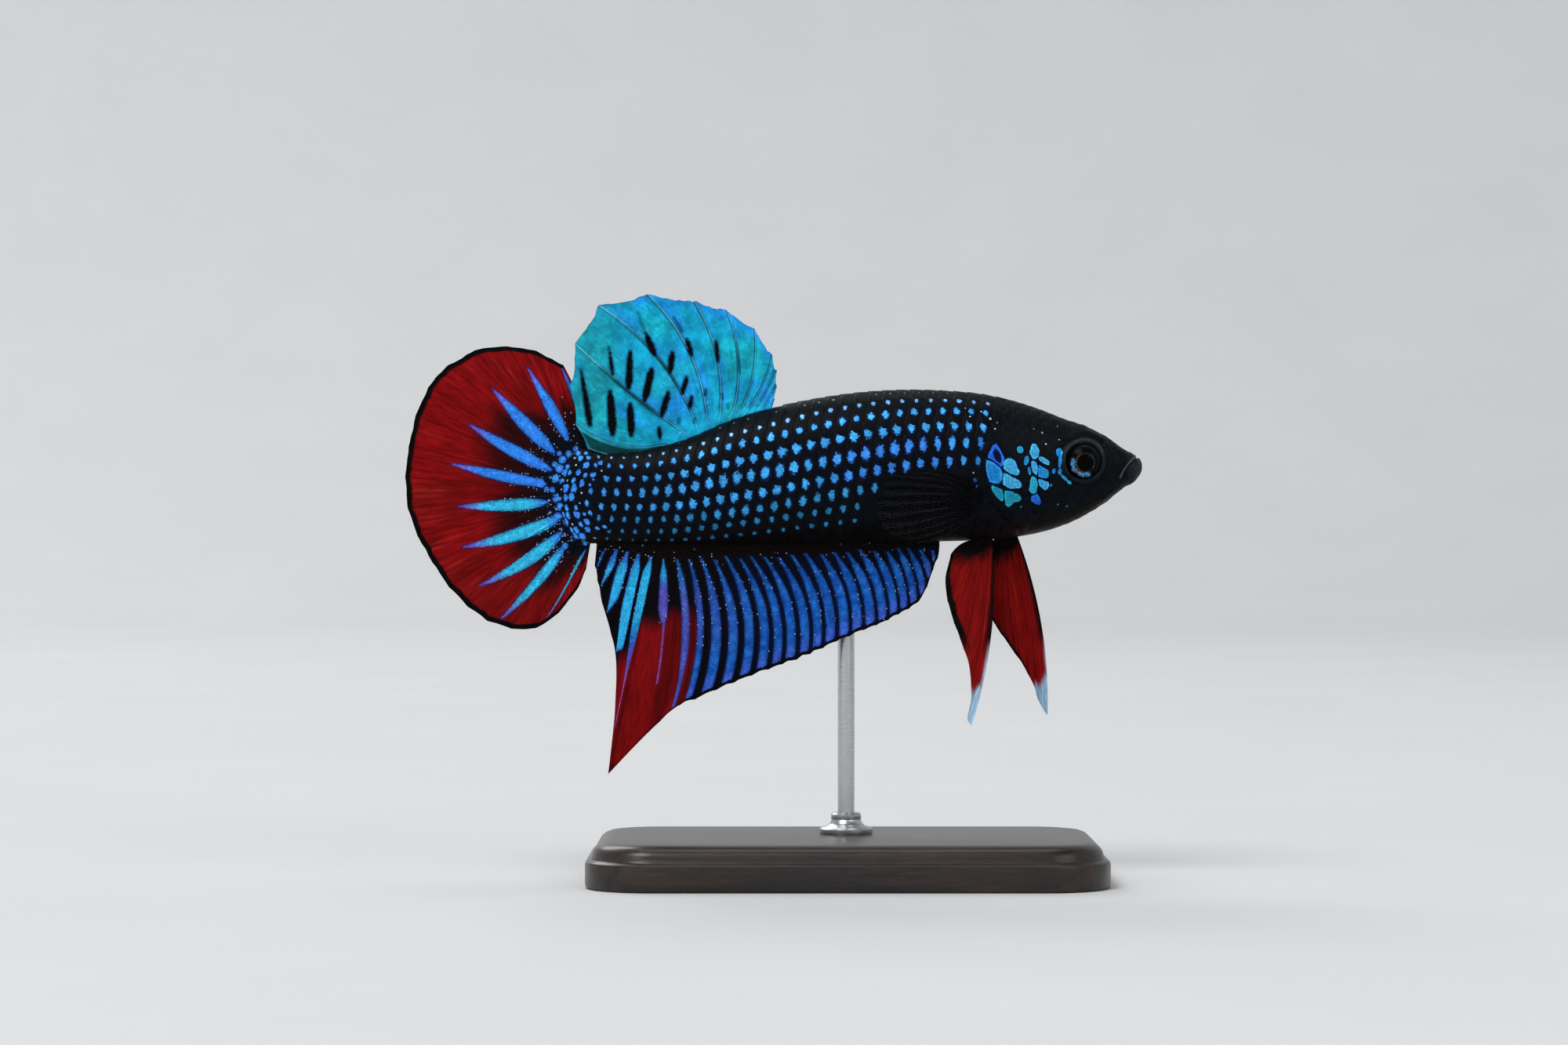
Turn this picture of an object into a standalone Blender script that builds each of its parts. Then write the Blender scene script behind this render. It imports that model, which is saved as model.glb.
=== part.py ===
"""A male betta fish, life size, as a still museum model on a plain display stand.

The fish faces +X and its middle plane is y = 0. The part's origin is on the
floor, at the middle of the stand base's underside.

All sizes are in millimetres in the fish's own frame: x runs forward from the
tail base to the snout, z runs up from the body's axis, and -y is the fish's
right side. FISH_AT is where that frame stands in the part.
"""
from math import copysign, cos, pi, radians, sin, sqrt, tan

import bpy

MM = 0.001

# Driving dimensions
STANDARD_LENGTH = 50.0
FISH_AT = (-23.5, 0.0, 34.3)
GAP = 0.3
FIN_THICKNESS = 0.5

# Body: x, top, bottom, half width, height of the widest line
BODY = (
    (0.0, 4.5, -4.35, 0.95, 0.0),
    (4.0, 4.05, -4.3, 1.6, 0.0),
    (8.5, 4.95, -4.35, 2.15, 0.3),
    (13.7, 7.1, -4.35, 2.8, 1.0),
    (20.0, 8.65, -4.3, 3.45, 1.8),
    (26.0, 9.45, -4.25, 3.9, 2.3),
    (32.0, 9.5, -4.15, 4.1, 2.5),
    (36.1, 9.1, -4.0, 4.1, 2.4),
    (39.0, 8.4, -3.7, 3.95, 2.3),
    (41.7, 7.45, -3.1, 3.6, 2.5),
    (44.5, 6.2, -2.0, 3.0, 2.8),
    (47.0, 4.9, -0.4, 2.35, 2.8),
    (48.4, 3.95, 0.7, 1.9, 2.7),
    (50.0, 3.7, 1.45, 1.45, 2.65),
)
BODY_ROUNDNESS = 2.1
SNOUT_ROUND = 1.1
TAIL_ROUND = 2.4
TAIL_END_HALF_WIDTH = 0.3
BODY_STEP = 1.5
END_RINGS = 6
BODY_SIDES = 32
SHARP_ANGLE = radians(40.0)

# Cuts between the parts of the body: outlines in x, z
TAIL_CUT = 8.0
GILL_EDGE = (
    (37.4, 12.0),
    (36.4, 6.2),
    (35.5, 3.8),
    (35.4, 1.8),
    (36.0, 0.0),
    (37.3, -1.8),
    (39.4, -3.4),
    (41.0, -6.0),
)
COVER_FRONT = ((40.3, 5.4), (41.6, 4.2), (42.0, 1.8), (41.3, -0.4), (39.9, -2.2))
COVER_HEIGHTS = (-3.0, 6.5)
COVER_OVERLAP = 1.0
COVER_INNER_FACE = 2.3
MOUTH = ((49.5, 4.8), (49.1, 3.4), (48.0, 1.4), (46.2, 0.2), (45.4, -1.3), (45.2, -5.0))
CLEAR = 12.0

# Eyes
EYE_AT = (44.5, 1.95, 3.1)
EYE_RADIUS = 1.7
EYE_DEPTH = 1.35
EYE_SIDES = 20
EYE_RINGS = 10

# Fins, as rows of rays: place along the fin's base, 0 to 1, then the ray's tip
# in x, z, and how far the ray bows sideways as a share of its length. A wave is
# how far the fin's edge swings out of its plane, and in how many half waves.
DORSAL_BASE = (16.9, 8.5)
DORSAL_RAYS = (
    (0.0, 17.1, 8.7, 0.0),
    (0.1, 17.35, 9.9, -0.02),
    (0.2, 17.3, 11.3, -0.04),
    (0.29, 16.9, 12.7, -0.06),
    (0.37, 15.3, 15.05, -0.08),
    (0.44, 12.75, 16.75, -0.09),
    (0.57, 9.9, 17.5, -0.09),
    (0.69, 5.7, 18.1, -0.1),
    (0.78, 1.3, 17.1, -0.09),
    (0.88, -0.8, 13.7, 0.02),
    (0.94, -1.2, 9.8, 0.05),
    (0.98, -0.6, 7.1, 0.07),
    (1.0, 1.3, 4.9, 0.04),
)
DORSAL_SCALLOP = 0.07
DORSAL_STEPS = 7
DORSAL_LEAN = 0.7
DORSAL_WAVE = (0.25, 3)
CAUDAL_RAYS = (
    (0.0, -1.95, 11.8, -0.02),
    (0.045, -2.7, 12.25, 0.0),
    (0.136, -5.9, 13.4, 0.0),
    (0.18, -8.9, 13.35, 0.0),
    (0.227, -11.0, 12.45, 0.0),
    (0.27, -13.0, 11.0, 0.0),
    (0.318, -14.35, 8.9, 0.0),
    (0.41, -15.75, 3.9, 0.0),
    (0.5, -15.75, -1.05, 0.0),
    (0.59, -13.9, -5.45, 0.0),
    (0.68, -11.05, -9.25, 0.0),
    (0.77, -7.8, -11.5, 0.0),
    (0.86, -3.85, -11.7, 0.0),
    (0.95, -0.5, -8.3, 0.0),
    (1.0, 0.1, -6.4, 0.0),
)
CAUDAL_RAY_COUNT = 21
CAUDAL_SCALLOP = 0.06
CAUDAL_STEPS = 6
CAUDAL_LEAN = 0.4
CAUDAL_WAVE = (0.35, 4)
ANAL_BASE = (31.8, 1.2)
ANAL_LOBE = 0.84
ANAL_RAYS_FRONT = (
    (0.0, 31.6, -5.7, 0.04),
    (0.08, 30.2, -9.2, 0.07),
    (0.16, 28.2, -10.6, 0.09),
    (0.32, 23.4, -12.7, 0.11),
    (0.48, 18.6, -14.8, 0.12),
    (0.6, 13.9, -16.5, 0.12),
    (0.68, 10.4, -18.0, 0.1),
    (0.76, 7.8, -19.3, 0.08),
    (ANAL_LOBE, 2.2, -24.9, 0.0),
)
ANAL_RAYS_REAR = (
    (ANAL_LOBE, 2.2, -24.9, 0.0),
    (0.88, 2.8, -19.0, 0.0),
    (0.92, 2.8, -14.0, 0.0),
    (0.96, 1.7, -9.9, 0.0),
    (1.0, 1.0, -6.3, 0.0),
)
ANAL_RAY_COUNT = 26
ANAL_SCALLOP = 0.1
ANAL_STEPS = 5
ANAL_WAVE = (0.2, 5)
PELVIC_RIGHT_BASE = (34.5, 36.5)
PELVIC_RIGHT_RAYS = (
    (0.0, 32.7, -5.2, -0.1),
    (0.2, 32.2, -7.6, -0.07),
    (0.4, 32.6, -10.1, -0.03),
    (0.6, 33.3, -12.6, 0.0),
    (0.75, 34.0, -15.2, 0.02),
    (0.88, 34.2, -18.2, 0.03),
    (0.95, 34.15, -19.8, 0.04),
    (1.0, 34.5, -20.4, 0.05),
)
PELVIC_LEFT_BASE = (36.8, 38.8)
PELVIC_LEFT_RAYS = (
    (0.0, 35.6, -6.4, -0.1),
    (0.2, 36.2, -10.2, -0.07),
    (0.4, 38.0, -13.2, -0.03),
    (0.6, 39.4, -15.2, 0.0),
    (0.75, 40.4, -17.1, 0.02),
    (0.88, 40.9, -18.6, 0.03),
    (0.95, 41.3, -19.5, 0.04),
    (1.0, 41.8, -19.4, 0.05),
)
PELVIC_RAY_COUNT = 7
PELVIC_ROOT_Y = 1.0
PELVIC_SPREAD = 2.4
PELVIC_REAR_SHARE = 0.6
PELVIC_STEPS = 8
PECTORAL_BASE = ((34.9, 1.0), (34.6, -1.6))
PECTORAL_RAYS = (
    (0.0, 29.6, 2.3, -0.08),
    (0.25, 27.0, 1.4, -0.04),
    (0.5, 26.0, -0.8, 0.0),
    (0.75, 26.8, -3.1, 0.05),
    (1.0, 29.8, -4.2, 0.1),
)
PECTORAL_RAY_COUNT = 11
PECTORAL_ANGLE = radians(18.0)
PECTORAL_STEPS = 6
SOFT_SCALLOP = 0.05

# Stand
BASE_LENGTH = 46.0
BASE_WIDTH = 28.0
BASE_HEIGHT = 4.0
BASE_CORNER = 6.0
BASE_CHAMFER = 0.6
BASE_CORNER_STEPS = 6
ROD_Y = 2.6
ROD_RADIUS = 0.8
ROD_SIDES = 16


def clear_scene():
    for item in list(bpy.data.objects):
        bpy.data.objects.remove(item, do_unlink=True)


def make_material(name, colour, roughness, metallic=0.0):
    material = bpy.data.materials.new(name)
    material.use_nodes = True
    shader = material.node_tree.nodes["Principled BSDF"]
    shader.inputs["Base Color"].default_value = (*colour, 1.0)
    shader.inputs["Roughness"].default_value = roughness
    shader.inputs["Metallic"].default_value = metallic
    return material


def smooth(rows, parameter):
    """Read a smooth curve through rows of (parameter, value, ...)."""
    last = len(rows) - 2
    i = 0
    while i < last and rows[i + 1][0] < parameter:
        i += 1
    step = rows[i + 1][0] - rows[i][0]
    t = (parameter - rows[i][0]) / step
    values = []
    for column in range(1, len(rows[0])):
        start = rows[i][column]
        end = rows[i + 1][column]
        leave = slope(rows, i, column) * step
        arrive = slope(rows, i + 1, column) * step
        bend = (2 * t**3 - 3 * t**2 + 1) * start + (3 * t**2 - 2 * t**3) * end
        values.append(bend + (t**3 - 2 * t**2 + t) * leave + (t**3 - t**2) * arrive)
    return values


def slope(rows, i, column):
    """Slope of a column at row i, one-sided at the two ends."""
    if i == 0:
        return run(rows, 0, column)
    if i == len(rows) - 1:
        return run(rows, i - 1, column)
    before = rows[i][0] - rows[i - 1][0]
    after = rows[i + 1][0] - rows[i][0]
    steep = after * run(rows, i - 1, column) + before * run(rows, i, column)
    return steep / (before + after)


def run(rows, i, column):
    return (rows[i + 1][column] - rows[i][column]) / (rows[i + 1][0] - rows[i][0])


def body_at(x):
    """Top, bottom, half width and widest height of the body at x."""
    top, bottom, half, middle = smooth(BODY, max(0.0, x))
    snout = max(0.0, x - (STANDARD_LENGTH - SNOUT_ROUND)) / SNOUT_ROUND
    tail = max(0.0, -x) / TAIL_ROUND
    closing = sqrt(max(0.0, 1.0 - max(snout, tail) ** 2))
    top = middle + (top - middle) * closing
    bottom = middle + (bottom - middle) * closing
    if x < 0:
        half += (TAIL_END_HALF_WIDTH - half) * tail
    else:
        half *= closing
    return top, bottom, half, middle


def half_width_at(x, z):
    """Distance from the middle plane to the flank at x, z."""
    top, bottom, half, middle = body_at(x)
    reach = top - middle if z > middle else middle - bottom
    height = min(1.0, abs(z - middle) / reach)
    return half * (1.0 - height**BODY_ROUNDNESS) ** (1.0 / BODY_ROUNDNESS)


def belly_at(x, y):
    """Height of the body's underside at x, y."""
    _, bottom, half, middle = body_at(x)
    across = min(1.0, abs(y) / half)
    return middle - (middle - bottom) * (1.0 - across**BODY_ROUNDNESS) ** (1.0 / BODY_ROUNDNESS)


def body_ring(x, grown):
    """Points round the body at x, pushed out by grown."""
    top, bottom, half, middle = body_at(x)
    ring = []
    for k in range(BODY_SIDES):
        angle = 2 * pi * k / BODY_SIDES
        across = copysign(abs(cos(angle)) ** (2 / BODY_ROUNDNESS), cos(angle))
        up = copysign(abs(sin(angle)) ** (2 / BODY_ROUNDNESS), sin(angle))
        reach = top - middle if up > 0 else middle - bottom
        ring.append((x, (half + grown) * across, middle + (reach + grown) * up))
    return ring


def body_mesh(name, grown=0.0):
    """The whole body as one closed loft, rounded off at the tail and the snout."""
    snout_start = STANDARD_LENGTH - SNOUT_ROUND
    count = round(snout_start / BODY_STEP)
    turns = [sin(k * pi / 2 / END_RINGS) for k in range(1, END_RINGS)]
    stations = [-TAIL_ROUND * turn for turn in reversed(turns)]
    stations += [snout_start * k / count for k in range(count + 1)]
    stations += [snout_start + SNOUT_ROUND * turn for turn in turns]
    points = [(-TAIL_ROUND - grown, 0.0, body_at(0.0)[3])]
    for x in stations:
        points += body_ring(x, grown)
    tip = len(points)
    points.append((STANDARD_LENGTH + grown, 0.0, body_at(STANDARD_LENGTH)[3]))
    faces = []
    last = tip - BODY_SIDES
    for k in range(BODY_SIDES):
        after = (k + 1) % BODY_SIDES
        faces.append((0, 1 + after, 1 + k))
        faces.append((last + k, last + after, tip))
        for row in range(len(stations) - 1):
            a = 1 + row * BODY_SIDES
            faces.append((a + k, a + after, a + after + BODY_SIDES, a + k + BODY_SIDES))
    return mesh_of(name, points, faces)


def mesh_of(name, points, faces):
    mesh = bpy.data.meshes.new(name)
    mesh.from_pydata([(x * MM, y * MM, z * MM) for x, y, z in points], [], faces)
    mesh.shade_smooth()
    mesh.set_sharp_from_angle(angle=SHARP_ANGLE)
    return mesh


def add(name, mesh, material=None, parent=None):
    item = bpy.data.objects.new(name, mesh)
    bpy.context.scene.collection.objects.link(item)
    item.parent = parent
    if material:
        mesh.materials.append(material)
    return item


def prism(name, outline, y_from, y_to, fish):
    """A hidden cutter: an outline in x, z carried from one y to another."""
    count = len(outline)
    points = [(x, y_from, z) for x, z in outline] + [(x, y_to, z) for x, z in outline]
    faces = [tuple(range(count)), tuple(range(count, 2 * count))[::-1]]
    for k in range(count):
        after = (k + 1) % count
        faces.append((k, k + count, after + count, after))
    return hide(add(name, outward(mesh_of(name, points, faces)), parent=fish))


def outward(mesh):
    """Turn a closed mesh's faces out when its volume comes out negative."""
    volume = 0.0
    for face in mesh.polygons:
        corners = [mesh.vertices[v].co for v in face.vertices]
        for k in range(1, len(corners) - 1):
            volume += corners[0].dot(corners[k].cross(corners[k + 1]))
    if volume < 0:
        mesh.flip_normals()
    return mesh


def hide(item):
    item.hide_render = True
    item.display_type = "WIRE"
    return item


def boolean(item, operation, cutter):
    modifier = item.modifiers.new(operation.lower() + "_" + cutter.name, "BOOLEAN")
    modifier.operation = operation
    modifier.object = cutter
    modifier.solver = "EXACT"


def grown_outline(outline, amount):
    """The outline with each point moved away from its middle by amount."""
    middle_x = sum(x for x, _ in outline) / len(outline)
    middle_z = sum(z for _, z in outline) / len(outline)
    grown = []
    for x, z in outline:
        reach = sqrt((x - middle_x) ** 2 + (z - middle_z) ** 2)
        factor = 1.0 + amount / reach
        grown.append((middle_x + (x - middle_x) * factor, middle_z + (z - middle_z) * factor))
    return grown


def shifted(outline, distance):
    return [(x + distance, z) for x, z in outline]


def make_body_parts(fish, skin):
    """Head, lower jaw, two gill covers, trunk and tail, cut from one loft."""
    rear = list(GILL_EDGE)
    trunk_zone = [(TAIL_CUT + GAP, -CLEAR), (TAIL_CUT + GAP, CLEAR)]
    trunk_zone += rear + [(rear[-1][0], -CLEAR)]
    trunk = add("trunk", body_mesh("trunk"), skin, fish)
    boolean(trunk, "INTERSECT", prism("trunk_zone", trunk_zone, -CLEAR, CLEAR, fish))

    tail_zone = [(-CLEAR, -CLEAR), (TAIL_CUT, -CLEAR), (TAIL_CUT, CLEAR), (-CLEAR, CLEAR)]
    tail = add("tail", body_mesh("tail"), skin, fish)
    boolean(tail, "INTERSECT", prism("tail_zone", tail_zone, -CLEAR, CLEAR, fish))

    head_rear = shifted(rear, GAP)
    beyond = STANDARD_LENGTH + CLEAR
    head_zone = head_rear[::-1] + [(beyond, CLEAR), (beyond, rear[-1][1])]
    jaw_zone = list(MOUTH) + [(beyond, MOUTH[-1][1]), (beyond, MOUTH[0][1])]
    head = add("head", body_mesh("head"), skin, fish)
    boolean(head, "INTERSECT", prism("head_zone", head_zone, -CLEAR, CLEAR, fish))
    head_jaw_zone = [(x - GAP, z + GAP / 2) for x, z in MOUTH]
    head_jaw_zone += [(beyond, MOUTH[-1][1]), (beyond, MOUTH[0][1] + GAP)]
    boolean(head, "DIFFERENCE", prism("jaw_room", head_jaw_zone, -CLEAR, CLEAR, fish))

    jaw = add("lower_jaw", body_mesh("lower_jaw"), skin, fish)
    boolean(jaw, "INTERSECT", prism("jaw_zone", jaw_zone, -CLEAR, CLEAR, fish))

    lowest, highest = COVER_HEIGHTS
    cover_rear = [p for p in head_rear if lowest < p[1] < highest]
    cover_outline = cover_rear + list(COVER_FRONT)[::-1]
    window = shifted(cover_rear, -COVER_OVERLAP) + list(COVER_FRONT)[::-1]
    window = grown_outline(window, GAP)
    for side, name in ((-1, "right"), (1, "left")):
        inner = side * COVER_INNER_FACE
        outer = side * CLEAR
        cover = add("gill_cover_" + name, body_mesh("gill_cover_" + name), skin, fish)
        boolean(cover, "INTERSECT", prism("cover_zone_" + name, cover_outline, inner, outer, fish))
        inner = side * (COVER_INNER_FACE - GAP)
        boolean(head, "DIFFERENCE", prism("cover_room_" + name, window, inner, outer, fish))
        socket = eye_mesh("socket_" + name, side, GAP)
        boolean(head, "DIFFERENCE", hide(add("socket_" + name, socket, parent=fish)))


def eye_mesh(name, side, grown):
    """An eyeball, a little flattened from side to side."""
    middle_x, middle_y, middle_z = EYE_AT
    radius = EYE_RADIUS + grown
    depth = EYE_DEPTH + grown
    points = [(middle_x, side * (middle_y + depth), middle_z)]
    for ring in range(1, EYE_RINGS):
        polar = pi * ring / EYE_RINGS
        for k in range(EYE_SIDES):
            angle = 2 * pi * k / EYE_SIDES
            x = middle_x + radius * sin(polar) * cos(angle)
            z = middle_z + radius * sin(polar) * sin(angle)
            points.append((x, side * (middle_y + depth * cos(polar)), z))
    points.append((middle_x, side * (middle_y - depth), middle_z))
    faces = []
    last = len(points) - 1
    for k in range(EYE_SIDES):
        after = (k + 1) % EYE_SIDES
        faces.append((0, 1 + k, 1 + after))
        faces.append((last, last - EYE_SIDES + after, last - EYE_SIDES + k))
        for ring in range(EYE_RINGS - 2):
            a = 1 + ring * EYE_SIDES
            faces.append((a + k, a + k + EYE_SIDES, a + after + EYE_SIDES, a + after))
    return outward(mesh_of(name, points, faces))


def make_eyes(fish, material):
    add("eye_right", eye_mesh("eye_right", -1, 0.0), material, fish)
    add("eye_left", eye_mesh("eye_left", 1, 0.0), material, fish)


def even_rays(rows, count):
    """Evenly spaced rays read from a smooth curve through a few of them."""
    return [spread_ray(rows, k / (count - 1)) for k in range(count)]


def spread_ray(rows, share):
    return (share, *smooth(rows, share))


def between(ray, after, t, scallop):
    """The membrane's line at t between two rays, drawn in at its edge."""
    share, tip_x, tip_z, bow = [a + (b - a) * t for a, b in zip(ray, after)]
    gap = sqrt((after[1] - ray[1]) ** 2 + (after[2] - ray[2]) ** 2)
    return share, tip_x, tip_z, bow, scallop * gap * 4 * t * (1 - t)


def fin_lines(rays, cells, scallop):
    lines = []
    for ray, after in zip(rays, rays[1:]):
        lines += [between(ray, after, cell / cells, scallop) for cell in range(cells)]
    lines.append((*rays[-1], 0.0))
    return lines


def wave(swing_and_count, share):
    """How far a fin's edge swings out of its plane at a place along its base."""
    swing, half_waves = swing_and_count
    return swing * sin(half_waves * pi * share)


def fin_mesh(name, lines, base, lateral, along):
    """A fin as a thin plate of curved rays and the membrane between them.

    base gives the root's x, z at a place along the fin's base. lateral gives
    the plate's y at a place along the base and a share of the ray's length.
    """
    points = []
    for face_side in (-0.5, 0.5):
        for share, tip_x, tip_z, bow, drawn_in in lines:
            base_x, base_z = base(share)
            length = sqrt((tip_x - base_x) ** 2 + (tip_z - base_z) ** 2)
            reach = 1 - drawn_in / length
            for j in range(along + 1):
                v = reach * j / along
                bulge = bow * 4 * v * (1 - v)
                x = base_x + v * (tip_x - base_x) - bulge * (tip_z - base_z)
                z = base_z + v * (tip_z - base_z) + bulge * (tip_x - base_x)
                points.append((x, lateral(share, v) + face_side * FIN_THICKNESS, z))
    row = along + 1
    across = len(lines) - 1
    side = len(lines) * row
    faces = []
    for i in range(across):
        for j in range(along):
            a = i * row + j
            faces.append((a, a + row, a + row + 1, a + 1))
            faces.append((a + side, a + side + 1, a + side + row + 1, a + side + row))
        for j in (0, along):
            a = i * row + j
            edge = (a, a + side, a + side + row, a + row)
            faces.append(edge if j == 0 else edge[::-1])
    for i in (0, across):
        for j in range(along):
            a = i * row + j
            edge = (a, a + 1, a + 1 + side, a + side)
            faces.append(edge if i == 0 else edge[::-1])
    return outward(mesh_of(name, points, faces))


def make_dorsal_fin(fish, material):
    def base(share):
        x = DORSAL_BASE[0] + share * (DORSAL_BASE[1] - DORSAL_BASE[0])
        return x, body_at(x)[0] + GAP

    def lateral(share, v):
        return -DORSAL_LEAN * v * share**3 + v * wave(DORSAL_WAVE, share)

    lines = fin_lines(DORSAL_RAYS, 2, DORSAL_SCALLOP)
    add("dorsal_fin", fin_mesh("dorsal_fin", lines, base, lateral, DORSAL_STEPS), material, fish)


def make_caudal_fin(fish, material):
    top, bottom, _, middle = body_at(0.0)

    def base(share):
        reach = top - middle if share < 0.5 else middle - bottom
        return -TAIL_ROUND * sin(pi * share) - GAP, middle + reach * cos(pi * share)

    def lateral(share, v):
        return CAUDAL_LEAN * v * (1 - share) + v * v * wave(CAUDAL_WAVE, share)

    rays = even_rays(CAUDAL_RAYS, CAUDAL_RAY_COUNT)
    lines = fin_lines(rays, 2, CAUDAL_SCALLOP)
    add("caudal_fin", fin_mesh("caudal_fin", lines, base, lateral, CAUDAL_STEPS), material, fish)


def make_anal_fin(fish, material):
    def base(share):
        x = ANAL_BASE[0] + share * (ANAL_BASE[1] - ANAL_BASE[0])
        return x, body_at(x)[1] - GAP

    def lateral(share, v):
        return v * v * wave(ANAL_WAVE, share)

    rays = []
    for k in range(ANAL_RAY_COUNT):
        share = k / (ANAL_RAY_COUNT - 1)
        rays.append(spread_ray(ANAL_RAYS_FRONT if share <= ANAL_LOBE else ANAL_RAYS_REAR, share))
    lines = fin_lines(rays, 2, ANAL_SCALLOP)
    add("anal_fin", fin_mesh("anal_fin", lines, base, lateral, ANAL_STEPS), material, fish)


def make_pelvic_fins(fish, material):
    make_pelvic_fin("right", -1, PELVIC_RIGHT_BASE, PELVIC_RIGHT_RAYS, fish, material)
    make_pelvic_fin("left", 1, PELVIC_LEFT_BASE, PELVIC_LEFT_RAYS, fish, material)


def make_pelvic_fin(name, side, ends, rows, fish, material):
    def base(share):
        x = ends[0] + share * (ends[1] - ends[0])
        return x, belly_at(x, PELVIC_ROOT_Y) - GAP

    def lateral(share, v):
        spread = PELVIC_REAR_SHARE + (1 - PELVIC_REAR_SHARE) * share
        return side * (PELVIC_ROOT_Y + PELVIC_SPREAD * v * spread)

    lines = fin_lines(even_rays(rows, PELVIC_RAY_COUNT), 2, SOFT_SCALLOP)
    name = "pelvic_fin_" + name
    add(name, fin_mesh(name, lines, base, lateral, PELVIC_STEPS), material, fish)


def make_pectoral_fins(fish, material):
    for name, side in (("right", -1), ("left", 1)):
        make_pectoral_fin("pectoral_fin_" + name, side, fish, material)


def make_pectoral_fin(name, side, fish, material):
    (top_x, top_z), (low_x, low_z) = PECTORAL_BASE

    def base(share):
        return top_x + share * (low_x - top_x), top_z + share * (low_z - top_z)

    def lateral(share, v):
        root = half_width_at(*base(share)) + GAP + FIN_THICKNESS / 2
        back = v * (base(share)[0] - smooth(PECTORAL_RAYS, share)[0])
        return side * (root + back * tan(PECTORAL_ANGLE))

    rays = even_rays(PECTORAL_RAYS, PECTORAL_RAY_COUNT)
    lines = fin_lines(rays, 1, SOFT_SCALLOP)
    add(name, fin_mesh(name, lines, base, lateral, PECTORAL_STEPS), material, fish)


def make_stand_base(material):
    """A flat rounded plate with a chamfered top edge."""
    outline = []
    half_length = BASE_LENGTH / 2 - BASE_CORNER
    half_width = BASE_WIDTH / 2 - BASE_CORNER
    for quarter, (side_x, side_y) in enumerate(((1, 1), (-1, 1), (-1, -1), (1, -1))):
        for k in range(BASE_CORNER_STEPS + 1):
            angle = pi / 2 * (quarter + k / BASE_CORNER_STEPS)
            outline.append((side_x * half_length, side_y * half_width, cos(angle), sin(angle)))
    levels = ((0.0, 0.0), (BASE_HEIGHT - BASE_CHAMFER, 0.0), (BASE_HEIGHT, BASE_CHAMFER))
    points = []
    for z, inset in levels:
        radius = BASE_CORNER - inset
        points += [(x + radius * dx, y + radius * dy, z) for x, y, dx, dy in outline]
    count = len(outline)
    top = len(levels) - 1
    faces = [tuple(range(count))[::-1], tuple(range(top * count, (top + 1) * count))]
    for level in range(top):
        for k in range(count):
            a = level * count + k
            b = level * count + (k + 1) % count
            faces.append((a, b, b + count, a + count))
    add("stand_base", outward(mesh_of("stand_base", points, faces)), material)


def make_stand_rod(fish, material):
    """A round rod beside the anal fin, cut to the flank that it holds."""
    foot = BASE_HEIGHT + GAP
    head = FISH_AT[2]
    points = []
    for z in (foot, head):
        for k in range(ROD_SIDES):
            angle = 2 * pi * k / ROD_SIDES
            points.append((ROD_RADIUS * cos(angle), ROD_Y + ROD_RADIUS * sin(angle), z))
    faces = [tuple(range(ROD_SIDES))[::-1], tuple(range(ROD_SIDES, 2 * ROD_SIDES))]
    for k in range(ROD_SIDES):
        after = (k + 1) % ROD_SIDES
        faces.append((k, after, after + ROD_SIDES, k + ROD_SIDES))
    rod = add("stand_rod", outward(mesh_of("stand_rod", points, faces)), material)
    room = hide(add("flank_room", body_mesh("flank_room", GAP), parent=fish))
    boolean(rod, "DIFFERENCE", room)


def main():
    clear_scene()
    fish = bpy.data.objects.new("fish", None)
    fish.location = [value * MM for value in FISH_AT]
    bpy.context.scene.collection.objects.link(fish)
    make_body_parts(fish, make_material("skin", (0.02, 0.03, 0.05), 0.4))
    make_eyes(fish, make_material("eye", (0.01, 0.01, 0.01), 0.1))
    make_dorsal_fin(fish, make_material("turquoise_fin", (0.02, 0.4, 0.6), 0.4))
    make_caudal_fin(fish, make_material("red_tail_fin", (0.4, 0.01, 0.01), 0.45))
    make_anal_fin(fish, make_material("blue_fin", (0.02, 0.15, 0.6), 0.4))
    make_pelvic_fins(fish, make_material("red_pelvic_fin", (0.4, 0.02, 0.02), 0.45))
    make_pectoral_fins(fish, make_material("smoky_fin", (0.03, 0.03, 0.04), 0.4))
    make_stand_base(make_material("black_lacquer", (0.01, 0.01, 0.012), 0.35))
    make_stand_rod(fish, make_material("steel_rod", (0.5, 0.5, 0.5), 0.35, 1.0))


main()
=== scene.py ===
"""The looks of a male betta fish, life size, as a museum model on a display stand.

One skin covers the flesh, with overlapping scales as solid mesh over it. The
fins are dense plates of rays and membrane, and the eyes are pieces of their own.

All sizes are in millimetres in the fish's own frame, as in the CAD model: x runs
forward from the tail base to the snout, z runs up from the body's axis, and -y is
the fish's right side, which faces the camera. Angles round the body start on its
left side and turn over the back to its right side.
"""
import collections
import itertools
import math

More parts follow.
